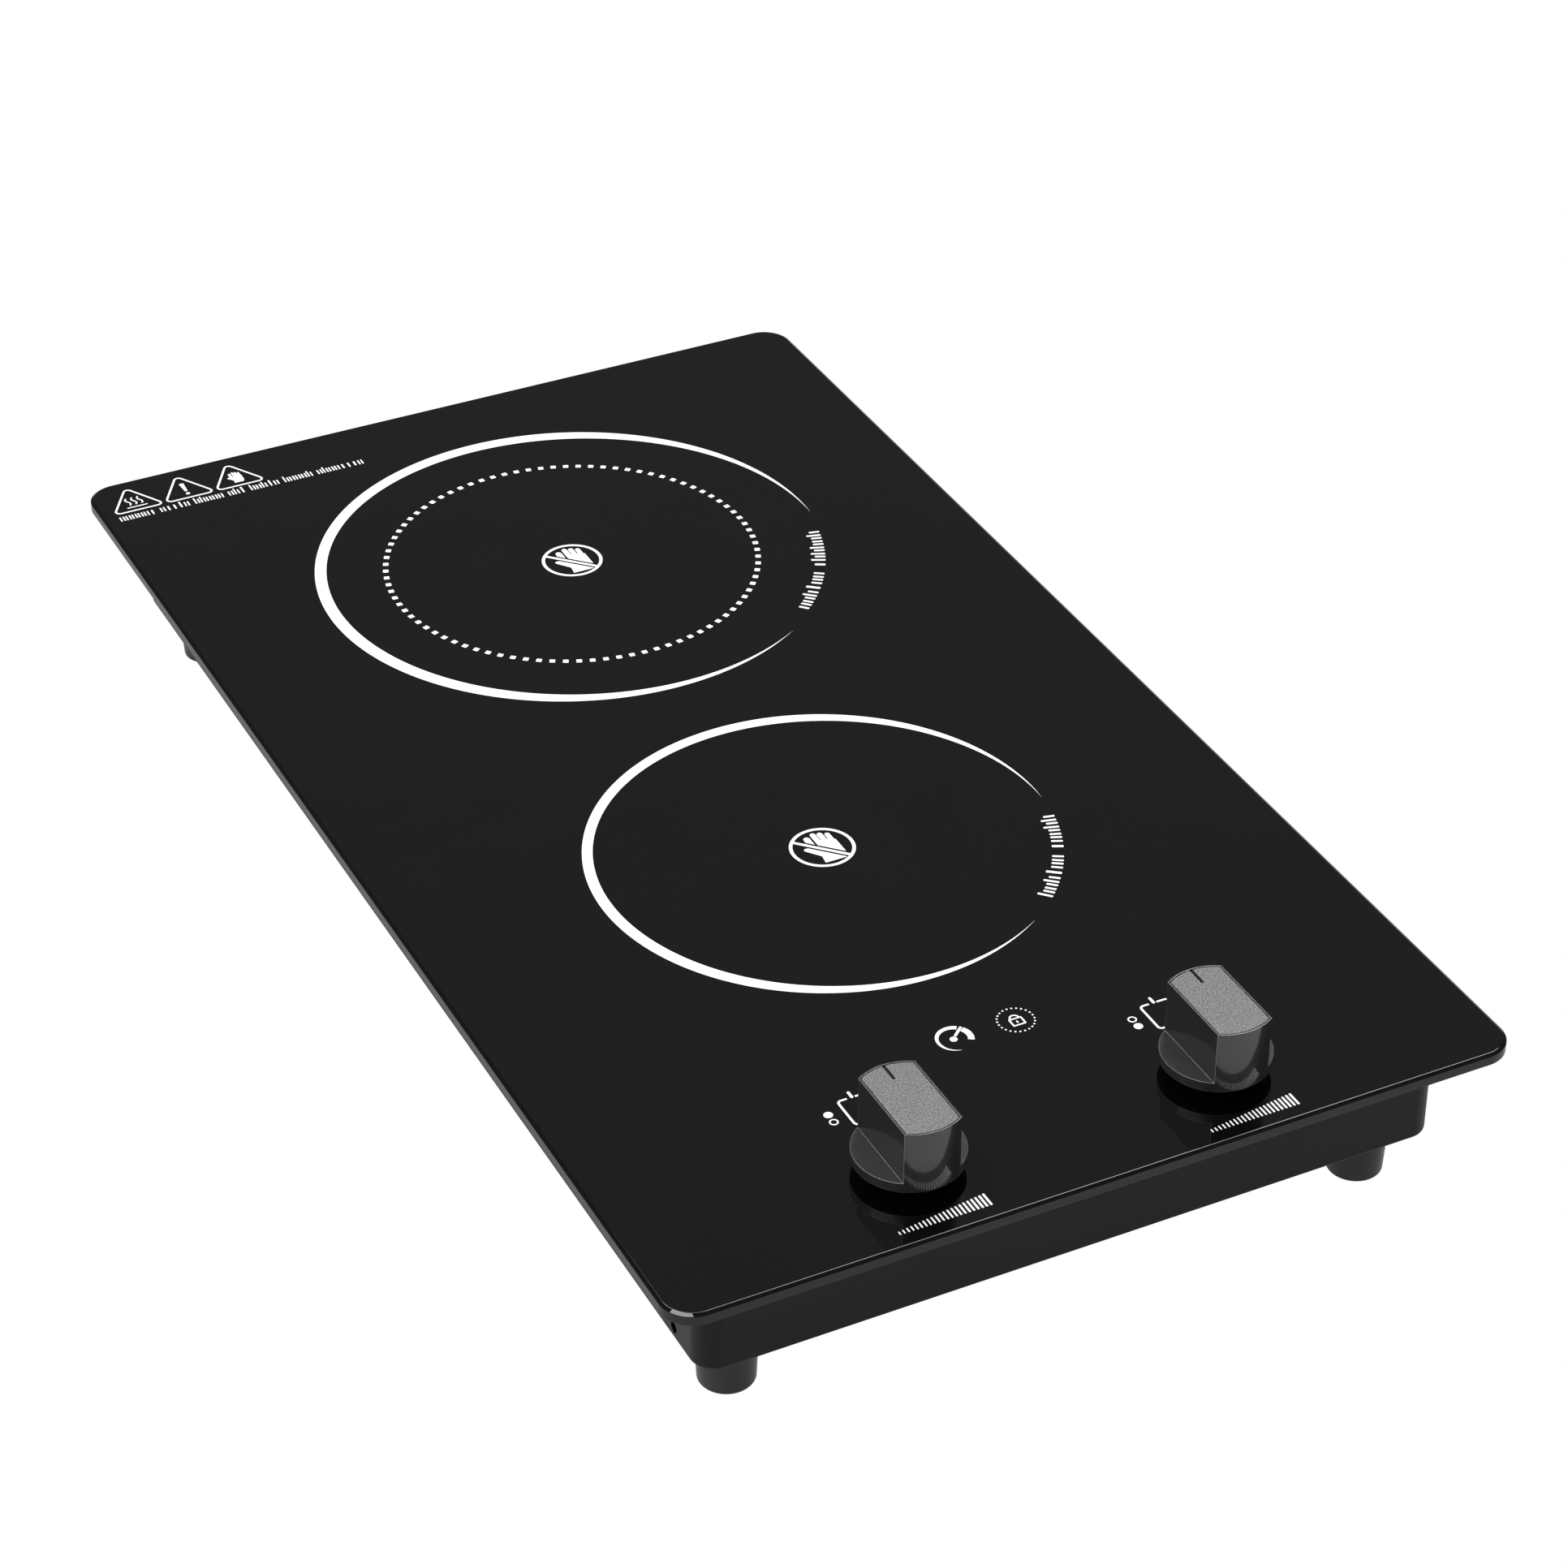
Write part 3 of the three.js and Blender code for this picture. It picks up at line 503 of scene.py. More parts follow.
cut(knob, beside_grip(GRIP_HALF_WIDTH, dial_top, knob_high.z + PAST))
with editing(knob):
    pick(knob, "FACE", lambda face: at_height(face, knob_high.z, 1e-5) and face.normal.z > 0.5)
    bpy.ops.mesh.inset(thickness=GRIP_RIM)
    bpy.ops.mesh.extrude_region_move(
        TRANSFORM_OT_translate={"value": (0, 0, insert_low.z - GAP - knob_high.z)}
    )
for name, top, radius in (("room", dial_top, CLIP_ROOM), ("socket", shaft_top + SOCKET_END, SOCKET_RADIUS)):
    cut(knob, [disc(name, knob_at.x, knob_at.y, knob_low.z - PAST, top, radius, 48)])
tidy_shell(knob)
# The rounding gets a material slot of its own, which takes the painted edge highlight.
soften(knob, KNOB_ROUNDING, steps=3, angle=30, own_finish=True)
report(knob)

# %% [markdown]
# ## The plate in the knob's top
#
# A thin piece of metal with a grained face fills the sunk top, and a slot cut in from its rear end is the pointer:
# the dark moulding shows through it. The outline is the grip's outline again, drawn in by the rim and a small gap.

# %% Cut the metal plate
POINTER_WIDTH = 0.001
POINTER_LENGTH = 0.007
PLATE_ROUNDING = 0.00007

plate_radius = knob_radius - GRIP_RIM - GAP
plate = disc(
    "left_knob_plate", knob_at.x, knob_at.y, insert_low.z, insert_high.z, plate_radius, 144
)
cut(plate, beside_grip(GRIP_HALF_WIDTH - GRIP_RIM - GAP, insert_low.z - PAST, knob_high.z))
cut(plate, [block(
    "pointer",
    (knob_at.x - POINTER_WIDTH / 2, knob_at.y + plate_radius - POINTER_LENGTH, insert_low.z - PAST),
    (knob_at.x + POINTER_WIDTH / 2, knob_at.y + plate_radius + PAST, knob_high.z),
)])
soften(plate, PLATE_ROUNDING, steps=2, angle=40)
report(plate)

# %% Copy the knob to the right
to_right = knob_places["right"] - knob_places["left"]
knobs = {"left": knob, "right": copied(knob, "right_knob_moulding", to_right)}
plates = {"left": plate, "right": copied(plate, "right_knob_plate", to_right)}
print("knobs stand", round(to_right.x * 1000, 2), "mm apart")

# %% [markdown]
# ## White enamel print
#
# The signs are screen-printed and fired into the glass, a few hundredths of a millimetre thick. They could be
# painted by the glass's material, but real, very thin shapes stay sharp from any distance. Four shapes draw them
# all: a bar with round ends, an arc of even width, a round spot, and an outline that is drawn corner by corner. A
# line is a bar between two points, and a crescent is an outline that thins along its way. Shapes that overlap are
# merged into one skin, because two faces in one place shade badly.

# %% Bars, arcs and spots of enamel
INK_BOTTOM = GLASS_TOP - 0.000004
INK_TOP = GLASS_TOP + 0.00003


def bar(x, y, length, width, turn=0.0, rounding=0.49):
    low = (x - length / 2, y - width / 2, INK_BOTTOM)
    high = (x + length / 2, y + width / 2, INK_TOP)
    piece = block("bar", low, high, turn)
    if rounding:
        with editing(piece):
            pick(piece, "EDGE", upright)
            bpy.ops.mesh.bevel(offset=min(length, width) * rounding, segments=4, affect="EDGES")
    return piece


def line(a, b, width):
    (ax, ay), (bx, by) = a, b
    length = math.hypot(bx - ax, by - ay) + width
    return bar((ax + bx) / 2, (ay + by) / 2, length, width, math.atan2(by - ay, bx - ax))


def spot(x, y, radius, around=32):
    return disc("spot", x, y, INK_BOTTOM, INK_TOP, radius, around)


def arc(x, y, radius, width, start=0.0, end=360.0, steps=None):
    """An arc of even width. Angles run from +X towards +Y, in degrees, and radius is the middle line."""
    whole = end - start >= 360
    first = math.radians(start)
    bpy.ops.object.select_all(action="DESELECT")
    bpy.ops.mesh.primitive_plane_add(size=1, rotation=(math.pi / 2, 0, 0))
    piece = bpy.context.object
    piece.scale = (width, INK_TOP - INK_BOTTOM, 1)
    piece.location = (radius, 0, (INK_TOP + INK_BOTTOM) / 2)
    piece = settled("arc")
    piece.rotation_euler = (0, 0, first)
    piece.location = (x, y, 0)
    piece = settled("arc")
    steps = steps or max(6, int((end - start) / 6))
    with editing(piece):
        bpy.ops.mesh.select_all(action="SELECT")
        if whole:
            bpy.ops.mesh.delete(type="ONLY_FACE")
            bpy.ops.mesh.select_all(action="SELECT")
        bpy.ops.mesh.spin(
            steps=steps, angle=-math.radians(end - start), center=(x, y, 0), axis=(0, 0, 1)
        )
    return tidy_shell(piece)


def outline(corners):
    """Draws an outline one corner after the other, fills it and gives it the thickness of the enamel."""
    bpy.ops.object.select_all(action="DESELECT")
    x, y = corners[0]
    bpy.ops.mesh.primitive_plane_add(size=0.001, location=(x, y, INK_BOTTOM))
    piece = settled("outline")
    with editing(piece):
        bpy.ops.mesh.select_mode(type="VERT")
        bpy.ops.mesh.select_all(action="SELECT")
        bpy.ops.mesh.merge(type="CENTER")
        for next_x, next_y in corners[1:]:
            step = (next_x - x, next_y - y, 0)
            bpy.ops.mesh.extrude_region_move(TRANSFORM_OT_translate={"value": step})
            x, y = next_x, next_y
        bpy.ops.mesh.select_all(action="SELECT")
        bpy.ops.mesh.edge_face_add()
        up = (0, 0, INK_TOP - INK_BOTTOM)
        bpy.ops.mesh.extrude_region_move(TRANSFORM_OT_translate={"value": up})
    return tidy_shell(piece)


def crescent(x, y, start, end, outer, inner_start, inner_end, steps):
    """An arc whose inner edge runs from one radius to another, so that the stroke thins along its way."""
    far, near = [], []
    for i in range(steps + 1):
        share = i / steps
        angle = math.radians(start + (end - start) * share)
        inner = inner_start + (inner_end - inner_start) * share
        far.append((x + outer * math.cos(angle), y + outer * math.sin(angle)))
        near.append((x + inner * math.cos(angle), y + inner * math.sin(angle)))
    return outline(far + near[::-1])


def merged(pieces, name):
    for piece in pieces[1:]:
        cut(pieces[0], [piece], "UNION")
    return joined(pieces[:1], name)


# %% [markdown]
# ## Rings of the cooking zones
#
# Each zone has a ring that swells and thins like a pen stroke, and leaves an opening at the front right. It is a
# round disc with a slightly oval disc taken out of it, a little off centre: where the oval crosses the circle, the
# stroke runs out to nothing. The front ring is the rear one drawn smaller.

# %% Draw the two rings
RING_RADIUS = 0.0936
OVAL_ALONG = 0.09193
OVAL_ACROSS = 0.0891
OVAL_SHIFT = 0.00253
OVAL_TURN = math.radians(-31)
OVAL_DEPTH = 0.001
FRONT_RING_RADIUS = 0.0794


def zone_ring(name, centre, radius):
    size = radius / RING_RADIUS
    ring = disc(name, centre.x, centre.y, INK_BOTTOM, INK_TOP, radius, 256)
    bpy.ops.object.select_all(action="DESELECT")
    bpy.ops.mesh.primitive_cylinder_add(vertices=256, radius=1, depth=OVAL_DEPTH)
    oval = bpy.context.object
    oval.scale = (OVAL_ALONG * size, OVAL_ACROSS * size, 1)
    oval.rotation_euler = (0, 0, OVAL_TURN)
    oval.location = (
        centre.x + OVAL_SHIFT * size * math.cos(OVAL_TURN),
        centre.y + OVAL_SHIFT * size * math.sin(OVAL_TURN),
        GLASS_TOP,
    )
    return cut(ring, [settled("oval")])


zones = {"rear": middle("rear_heater_pan"), "front": middle("front_heater_pan")}
prints = {
    "rear_zone_ring": zone_ring("rear_zone_ring", zones["rear"], RING_RADIUS),
    "front_zone_ring": zone_ring("front_zone_ring", zones["front"], FRONT_RING_RADIUS),
}
for ring in prints.values():
    report(ring)

# %% [markdown]
# ## The dotted ring
#
# The rear zone has a second, smaller circuit, and a ring of small squares shows where it ends. One square is
# modelled; Spin with duplicates then lays the other 89 round the zone.

# %% Lay the squares
SQUARE = 0.002
SQUARES = 90
DIVIDER_HALF = 0.002

divider_low, divider_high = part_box("rear_divider_ring")
dotted_radius = (divider_high.x - divider_low.x) / 2 - DIVIDER_HALF
dotted = bar(zones["rear"].x + dotted_radius, zones["rear"].y, SQUARE, SQUARE, rounding=0.12)
with editing(dotted):
    bpy.ops.mesh.select_all(action="SELECT")
    bpy.ops.mesh.spin(
        steps=SQUARES - 1, dupli=True, angle=math.radians(360 * (SQUARES - 1) / SQUARES),
        center=(zones["rear"].x, zones["rear"].y, 0), axis=(0, 0, 1),
    )
prints["dotted_ring"] = joined([dotted], "rear_dotted_ring")
report(prints["dotted_ring"])

# %% [markdown]
# ## Keep-off sign in each zone
#
# The middle of each zone says not to touch it: an open hand in a ring, with a bar across. The hand is a plain one of
# our own: a square palm, four straight fingers and a thumb. The bar passes a little below the middle and has a dark
# gap on both sides, so the hand is cut by a wider bar before the white one is laid in.

# %% Draw the sign for both zones
SIGN_RADIUS = 0.0105
SIGN_STROKE = 0.0012
SIGN_GAP = 0.0008
SLASH_TURN = math.radians(-45.5)
SLASH_OFFSET = 0.00078
GAP_REACH = 0.015
THUMB = ((-0.0062, 0.0004), (-0.0063, 0.0011), (-0.0058, 0.0016), (-0.0051, 0.0016), (-0.0040, 0.0014))
FINGERS = (  # left side, right side and tip of each
    (-0.0038, -0.00155, 0.0074), (-0.0008, 0.0012, 0.00865), (0.0015, 0.00345, 0.008), (0.00385, 0.0057, 0.0069),
)
FINGER_FEET = (0.0010, 0.0039, 0.0036)
PALM = (
    (0.0057, 0.0026), (0.0061, 0.0024), (0.0061, -0.0050), (0.00485, -0.0083), (-0.0029, -0.0083),
    (-0.0024, -0.0045),
)


def round_tip(left, right, top):
    """Corners of a finger's rounded end, from its left side over to its right."""
    radius = (right - left) / 2
    return [
        (left + radius - radius * math.cos(math.radians(a)), top - radius + radius * math.sin(math.radians(a)))
        for a in range(0, 181, 30)
    ]


def hand_corners(x, y, size=1.0):
    corners = list(THUMB)
    for i, (left, right, top) in enumerate(FINGERS):
        corners += round_tip(left, right, top)
        if i < len(FINGER_FEET):
            corners += [(right, FINGER_FEET[i]), (FINGERS[i + 1][0], FINGER_FEET[i])]
    corners += PALM
    return [(x + cx * size, y + cy * size) for cx, cy in corners]


def palm_sign(name, centre):
    x, y = centre.x, centre.y
    hand = outline(hand_corners(x, y))
    slash_x = x + SLASH_OFFSET * math.sin(SLASH_TURN)
    slash_y = y - SLASH_OFFSET * math.cos(SLASH_TURN)
    gap_half = SIGN_STROKE / 2 + SIGN_GAP
    gap = block(
        "gap", (slash_x - GAP_REACH, slash_y - gap_half, GLASS_TOP - PAST),
        (slash_x + GAP_REACH, slash_y + gap_half, GLASS_TOP + PAST), SLASH_TURN,
    )
    cut(hand, [gap])
    ring = arc(x, y, SIGN_RADIUS, SIGN_STROKE, steps=96)
    cut(ring, [bar(slash_x, slash_y, 2 * SIGN_RADIUS, SIGN_STROKE, SLASH_TURN, 0)], "UNION")
    return joined([ring, hand], name)


prints["rear_sign"] = palm_sign("rear_zone_sign", zones["rear"])
prints["front_sign"] = palm_sign("front_zone_sign", zones["front"])
report(prints["rear_sign"])

# %% [markdown]
# ## Strokes that stand in for lettering
#
# Real plates carry words here. This one carries none: a row of plain strokes, single and in pairs, takes the same
# space, so the plate looks as busy as the real one and says nothing. The random numbers start from a fixed seed, so
# the rhythm is the same every time.

# %% Rows of plain strokes
WORD_GAP = 0.7  # in steps of the row
LOW_STROKE = 0.74  # height of a low stroke, as a share of a tall one
SINGLE_SHARE, SINGLE_WIDTH = 0.2, 0.3
PAIR_SPREAD, PAIR_WIDTH = 0.27, 0.25
STROKE_ROUND = 0.3
CURVED_HEIGHT = 0.0053
CURVED_ROWS = {
    "rear": {"radius": 0.08985, "start": -48.0, "end": -13.2, "words": (6, 6), "seed": 3},
    "front": {"radius": 0.07705, "start": -47.4, "end": -12.5, "words": (6, 5), "seed": 5},
}
LONG_ROW = {"length": 0.0969, "height": 0.0042, "words": (6, 5, 5, 3, 5, 5, 8), "seed": 7}
LONG_ROW_INSET, LONG_ROW_DOWN = 0.0055, 0.0278


def stroke_rhythm(seed, length, words):
    """Yields (place along the row, width, height share) for single and paired strokes set in groups."""
    dice = random.Random(seed)
    pitch = length / (sum(words) + WORD_GAP * (len(words) - 1))
    place = 0.0
    for word in words:
        for _ in range(word):
            middle_of_pair, share = place + pitch / 2, dice.choice((LOW_STROKE, LOW_STROKE, 1.0))
            if dice.random() < SINGLE_SHARE:
                yield middle_of_pair, pitch * SINGLE_WIDTH, share
            else:
                yield middle_of_pair - pitch * PAIR_SPREAD, pitch * PAIR_WIDTH, share
                yield middle_of_pair + pitch * PAIR_SPREAD, pitch * PAIR_WIDTH, LOW_STROKE
            place += pitch
        place += pitch * WORD_GAP


def straight_row(name, x, y, length, height, words, seed):
    strokes = []
    for place, width, share in stroke_rhythm(seed, length, words):
        tall = height * share
        strokes.append(bar(x + place, y + tall / 2, tall, width, math.pi / 2, STROKE_ROUND))
    return joined(strokes, name)


def curved_row(name, centre, radius, start, end, words, seed):
    strokes = []
    length = radius * math.radians(end - start)
    for place, width, share in stroke_rhythm(seed, length, words):
        angle = math.radians(start) + place / radius
        tall = CURVED_HEIGHT * share
        foot = radius + CURVED_HEIGHT / 2 - tall / 2
        strokes.append(bar(
            centre.x + foot * math.cos(angle), centre.y + foot * math.sin(angle), tall, width, angle, STROKE_ROUND
        ))
    return joined(strokes, name)


for zone, row in CURVED_ROWS.items():
    prints[f"{zone}_row"] = curved_row(f"{zone}_zone_strokes", zones[zone], **row)
prints["long_row"] = straight_row(
    "corner_strokes", glass_low.x + LONG_ROW_INSET, glass_high.y - LONG_ROW_DOWN, **LONG_ROW
)
report(prints["long_row"])

# %% [markdown]
# ## Three triangles in the corner
#
# Three rounded triangles stand in the rear left corner. Each is a rounded outline with a smaller one cut out
# of it, and the mark inside is a plain one: rising waves over a line, an upright bar over a spot, and a small hand.

# %% Draw the triangles
TRIANGLE_WIDTH = 0.0197
TRIANGLE_HEIGHT = 0.0167
TRIANGLE_STROKE = 0.0008
TRIANGLE_ROUND = 0.0015
CUTTER_STRETCH = 9
TRIANGLE_DOWN = 0.0222  # from the rear edge of the glass to the lowest line
TRIANGLE_INSETS = (0.0148, 0.0348, 0.0548)  # from the left edge of the glass to each middle
WAVE = {"height": 0.0052, "sway": 0.0006, "width": 0.00062}
WAVE_PITCH = 0.0023
SMALL_HAND = 0.46  # against the hand in the zones


def triangle_corners(x, foot, spread):
    """Corners of a rounded triangle, drawn outwards by spread. foot is the middle of its lowest line."""
    slope = math.atan2(TRIANGLE_HEIGHT, TRIANGLE_WIDTH / 2)
    half = TRIANGLE_WIDTH / 2 - TRIANGLE_ROUND / math.tan(slope / 2)
    low = foot + TRIANGLE_ROUND
    peak = foot + TRIANGLE_HEIGHT - TRIANGLE_ROUND / math.cos(slope)
    lean = math.degrees(slope)
    radius = TRIANGLE_ROUND + spread
    corners = []
    for middle_x, middle_y, start, end in (
        (x - half, low, 270, 90 + lean), (x, peak, 90 + lean, 90 - lean), (x + half, low, 90 - lean, -90),
    ):
        for i in range(7):
            angle = math.radians(start + (end - start) * i / 6)
            corners.append((middle_x + radius * math.cos(angle), middle_y + radius * math.sin(angle)))
    return corners


def triangle(x, foot):
    ring = outline(triangle_corners(x, foot, TRIANGLE_STROKE / 2))
    inside = outline(triangle_corners(x, foot, -TRIANGLE_STROKE / 2))
    inside.scale.z = CUTTER_STRETCH
    inside.location.z = -(CUTTER_STRETCH - 1) * GLASS_TOP
    return [cut(ring, [inside])]


def wave(x, y, height, sway, width, steps=16):
    """A rising wave of steam: an upright stroke that sways to both sides."""
    left, right = [], []
    for i in range(steps + 1):
        share = i / steps
        angle = 2 * math.pi * share
        place_x, place_y = x + sway * math.sin(angle), y + height * (share - 0.5)
        lean = math.atan2(2 * math.pi * sway * math.cos(angle), height)
        side_x, side_y = width / 2 * math.cos(lean), width / 2 * math.sin(lean)
        left.append((place_x - side_x, place_y + side_y))
        right.append((place_x + side_x, place_y - side_y))
    return outline(left + right[::-1])


def steam_mark(x, foot):
    waves = [wave(x + step * WAVE_PITCH, foot + 0.0068, **WAVE) for step in in_row(3)]
    return waves + [bar(x, foot + 0.0026, 0.008, 0.0006)]


def caution_mark(x, foot):
    narrow, wide, low, high = 0.0005, 0.0009, foot + 0.0048, foot + 0.0108
    wedge = outline([(x - narrow, low), (x + narrow, low), (x + wide, high), (x - wide, high)])
    return [wedge, spot(x, foot + 0.003, 0.0008)]


def hand_mark(x, foot):
    return [outline(hand_corners(x - 0.0002, foot + 0.0062, SMALL_HAND))]


marks = []
triangle_foot = glass_high.y - TRIANGLE_DOWN
for inset, mark_in in zip(TRIANGLE_INSETS, (steam_mark, caution_mark, hand_mark)):
    marks += triangle(glass_low.x + inset, triangle_foot)
    marks += mark_in(glass_low.x + inset, triangle_foot)
prints["triangles"] = joined(marks, "corner_triangles")
report(prints["triangles"])

# %% [markdown]
# ## Signs between the knobs
#
# A small gauge stands over the warm-up lamp, and a padlock in a ring of dots over the touch spring that locks the
# controls. Their places come from the lamp and the spring underneath.

# %% Draw the gauge
gauge = middle("indicator_lamp")
GAUGE_RADIUS = 0.0062
GAUGE_STROKE = 0.0021
GAUGE_HUB = 0.00125
NEEDLE_WIDTH = 0.00095
HATCHES = ((-32, -25), (-23.5, -17), (-15.5, -9.5), (-8, -2.5))  # short blocks that end the scale, in degrees
scale_x, scale_y = gauge.x + 0.0005, gauge.y + 0.00025


def scale_part(start, end, inner_start, inner_end, steps):
    return crescent(scale_x, scale_y, start, end, GAUGE_RADIUS, inner_start, inner_end, steps)


inner_edge = GAUGE_RADIUS - GAUGE_STROKE
gauge_parts = [
    spot(gauge.x, gauge.y, GAUGE_HUB),
    line((gauge.x + 0.00135, gauge.y + 0.0014), (gauge.x + 0.00465, gauge.y + 0.0043), NEEDLE_WIDTH),
    merged([
        scale_part(56, 200, 0.0045, 0.0053, 24),
        scale_part(200, 263, 0.0053, 0.0061, 12),
    ], "scale"),
    scale_part(-1, 37, inner_edge, inner_edge, 12),
]
gauge_parts += [scale_part(start, end, inner_edge, inner_edge, 3) for start, end in HATCHES]
prints["gauge"] = joined(gauge_parts, "gauge_sign")

# %% Draw the padlock
pad = middle("touch_spring")
DOTS = 24
DOTS_RADIUS = 0.006
DOT_RADIUS = 0.00035
PAD_STROKE = 0.0006
SHACKLE_RADIUS = 0.0015
lock_parts = []
for i in range(DOTS):
    angle = 2 * math.pi * i / DOTS
    lock_parts.append(spot(
        pad.x + DOTS_RADIUS * math.cos(angle), pad.y + DOTS_RADIUS * math.sin(angle), DOT_RADIUS, 16
    ))
left, right, low, high = pad.x - 0.002, pad.x + 0.0021, pad.y - 0.00255, pad.y + 0.00072
half = PAD_STROKE / 2
body = outline([
    (left - half, low), (left, low - half), (right, low - half), (right + half, low),
    (right + half, high), (right, high + half), (left, high + half), (left - half, high),
])
cut(body, [block(
    "window", (left + half, low + half, GLASS_TOP - PAST), (right - half, high - half, GLASS_TOP + PAST)
)])
shackle = arc(pad.x, high + 0.0002, SHACKLE_RADIUS, PAD_STROKE, 0, 180)
lock_parts.append(merged([body, shackle], "padlock"))
lock_parts.append(line((pad.x, pad.y - 0.0007), (pad.x, pad.y - 0.0013), PAD_STROKE))
prints["lock"] = joined(lock_parts, "lock_sign")
report(prints["lock"])

# %% [markdown]
# ## Marks round each knob
#
# Behind each knob a bracket with a short tick marks the off position, two spots say which zone the knob works, and
# in front a row of bars grows with the heat setting.

# %% Draw the marks for both knobs
BARS = 22
BAR_PITCH = 0.001445
BRACKET_STROKE = 0.0008
BRACKET_HALF = 0.0051
BRACKET_TURN = 0.0013
BRACKET_LOW, BRACKET_HIGH = 0.0257, 0.0356
TICK_LOW, TICK_HIGH = 0.0370, 0.0394
TICK_STROKE = 0.001
SPOT_RADIUS = 0.0015
SPOT_STROKE = 0.0005
SPOTS_X, SPOT_FRONT, SPOT_REAR = -0.0104, 0.0286, 0.0324
BARS_X, BARS_FOOT = -0.0165, -0.0267
BAR_HEIGHT, BAR_RISE = 0.0016, 0.0042
BAR_WIDTH, BAR_WIDENING = 0.00045, 0.00035


def bracket_half(x, y, sign, top_to):
    """One side of the bracket: an upright stroke with a rounded turn at each end."""
    turns = ((90, 180), (180, 270)) if sign < 0 else ((0, 90), (-90, 0))
    side_x, turn_x = x + sign * BRACKET_HALF, x + sign * (BRACKET_HALF - BRACKET_TURN)
    high, low = y + BRACKET_HIGH, y + BRACKET_LOW
    return merged([
        line((side_x, high), (side_x, low), BRACKET_STROKE),
        arc(turn_x, high, BRACKET_TURN, BRACKET_STROKE, *turns[0]),
        arc(turn_x, low, BRACKET_TURN, BRACKET_STROKE, *turns[1]),
        line((turn_x, high + BRACKET_TURN), (x + top_to, high + BRACKET_TURN), BRACKET_STROKE),
        line((turn_x, low - BRACKET_TURN), (turn_x - sign * 0.0003, low - BRACKET_TURN), BRACKET_STROKE),
    ], "bracket")


def knob_marks(side, filled_rear):
    at = knob_places[side]
    x, y = at.x, at.y
    parts = [
        bracket_half(x, y, -1, -0.0021),
        bracket_half(x, y, 1, 0.0013),
        line((x, y + TICK_HIGH), (x, y + TICK_LOW), TICK_STROKE),
    ]
    full_y, open_y = (SPOT_REAR, SPOT_FRONT) if filled_rear else (SPOT_FRONT, SPOT_REAR)
    parts.append(spot(x + SPOTS_X, y + full_y, SPOT_RADIUS))
    parts.append(arc(x + SPOTS_X, y + open_y, SPOT_RADIUS - SPOT_STROKE / 2, SPOT_STROKE, steps=32))
    for i in range(BARS):
        share = i / (BARS - 1)
        height = BAR_HEIGHT + share * BAR_RISE
        width = BAR_WIDTH + share * BAR_WIDENING
        bar_x, bar_y = x + BARS_X + i * BAR_PITCH, y + BARS_FOOT + height / 2
        parts.append(bar(bar_x, bar_y, height, width, math.pi / 2))
    return joined(parts, f"{side}_knob_marks")


prints["left_marks"] = knob_marks("left", True)
prints["right_marks"] = knob_marks("right", False)
report(prints["left_marks"])

# %% [markdown]
# ## One grain for many finishes
#
# Nothing real has one even colour. A node group makes a soft random grain, and every finish uses it with its own
# numbers: coarse for the mottle of a powder coat, fine for blasted metal, stretched along one axis for brushed steel
# or drawn wire. It reads Object coordinates, so the grain stays put on a part that turns.

# %% Build the grain group
def grain_group():
    group = bpy.data.node_groups.new("grain", "ShaderNodeTree")
    for label in ("X", "Y", "Z", "Low", "High"):
        group.interface.new_socket(label, in_out="INPUT", socket_type="NodeSocketFloat")
    group.interface.new_socket("Value", in_out="OUTPUT", socket_type="NodeSocketFloat")
    nodes, links = group.nodes, group.links
    inputs = nodes.new("NodeGroupInput")
    outputs = nodes.new("NodeGroupOutput")
    place = nodes.new("ShaderNodeTexCoord")
    stretch = nodes.new("ShaderNodeCombineXYZ")
    scaled = nodes.new("ShaderNodeVectorMath")
    scaled.operation = "MULTIPLY"
    noise = nodes.new("ShaderNodeTexNoise")
    noise.inputs["Scale"].default_value = 1.0
    noise.inputs["Detail"].default_value = 2.0
    spread = nodes.new("ShaderNodeMapRange")
    spread.inputs["From Min"].default_value = 0.3
    spread.inputs["From Max"].default_value = 0.7
    for axis in "XYZ":
        links.new(inputs.outputs[axis], stretch.inputs[axis])
    links.new(place.outputs["Object"], scaled.inputs[0])
    links.new(stretch.outputs[0], scaled.inputs[1])
    links.new(scaled.outputs[0], noise.inputs["Vector"])
    links.new(noise.outputs["Fac"], spread.inputs["Value"])
    links.new(inputs.outputs["Low"], spread.inputs["To Min"])
    links.new(inputs.outputs["High"], spread.inputs["To Max"])
    links.new(spread.outputs[0], outputs.inputs["Value"])
    return group


GRAIN = grain_group()


def grain(material, scale, low=0.0, high=1.0):
    """Adds grain to a material. scale is in repeats per metre: one number, or three to stretch it."""
    node = material.node_tree.nodes.new("ShaderNodeGroup")
    node.node_tree = GRAIN
    scales = scale if isinstance(scale, tuple) else (scale,) * 3
    for axis, value in zip("XYZ", scales):
        node.inputs[axis].default_value = value
    node.inputs["Low"].default_value = low
    node.inputs["High"].default_value = high
    return node.outputs["Value"]


print("grain group sockets:", [item.name for item in GRAIN.interface.items_tree])

# %% [markdown]
# ## Finishes
#
# A finish is a Principled shader with three things driven by grain: the colour moves between a darker and a lighter
# shade, the roughness wanders between two values, and a shallow bump breaks the highlights. Values that don't change
# over the surface are typed straight into the shader.

# %% A finish from a few numbers
def shade(value, tint=(1.0, 1.0, 1.0)):
    return tuple(value * t for t in tint) + (1.0,)


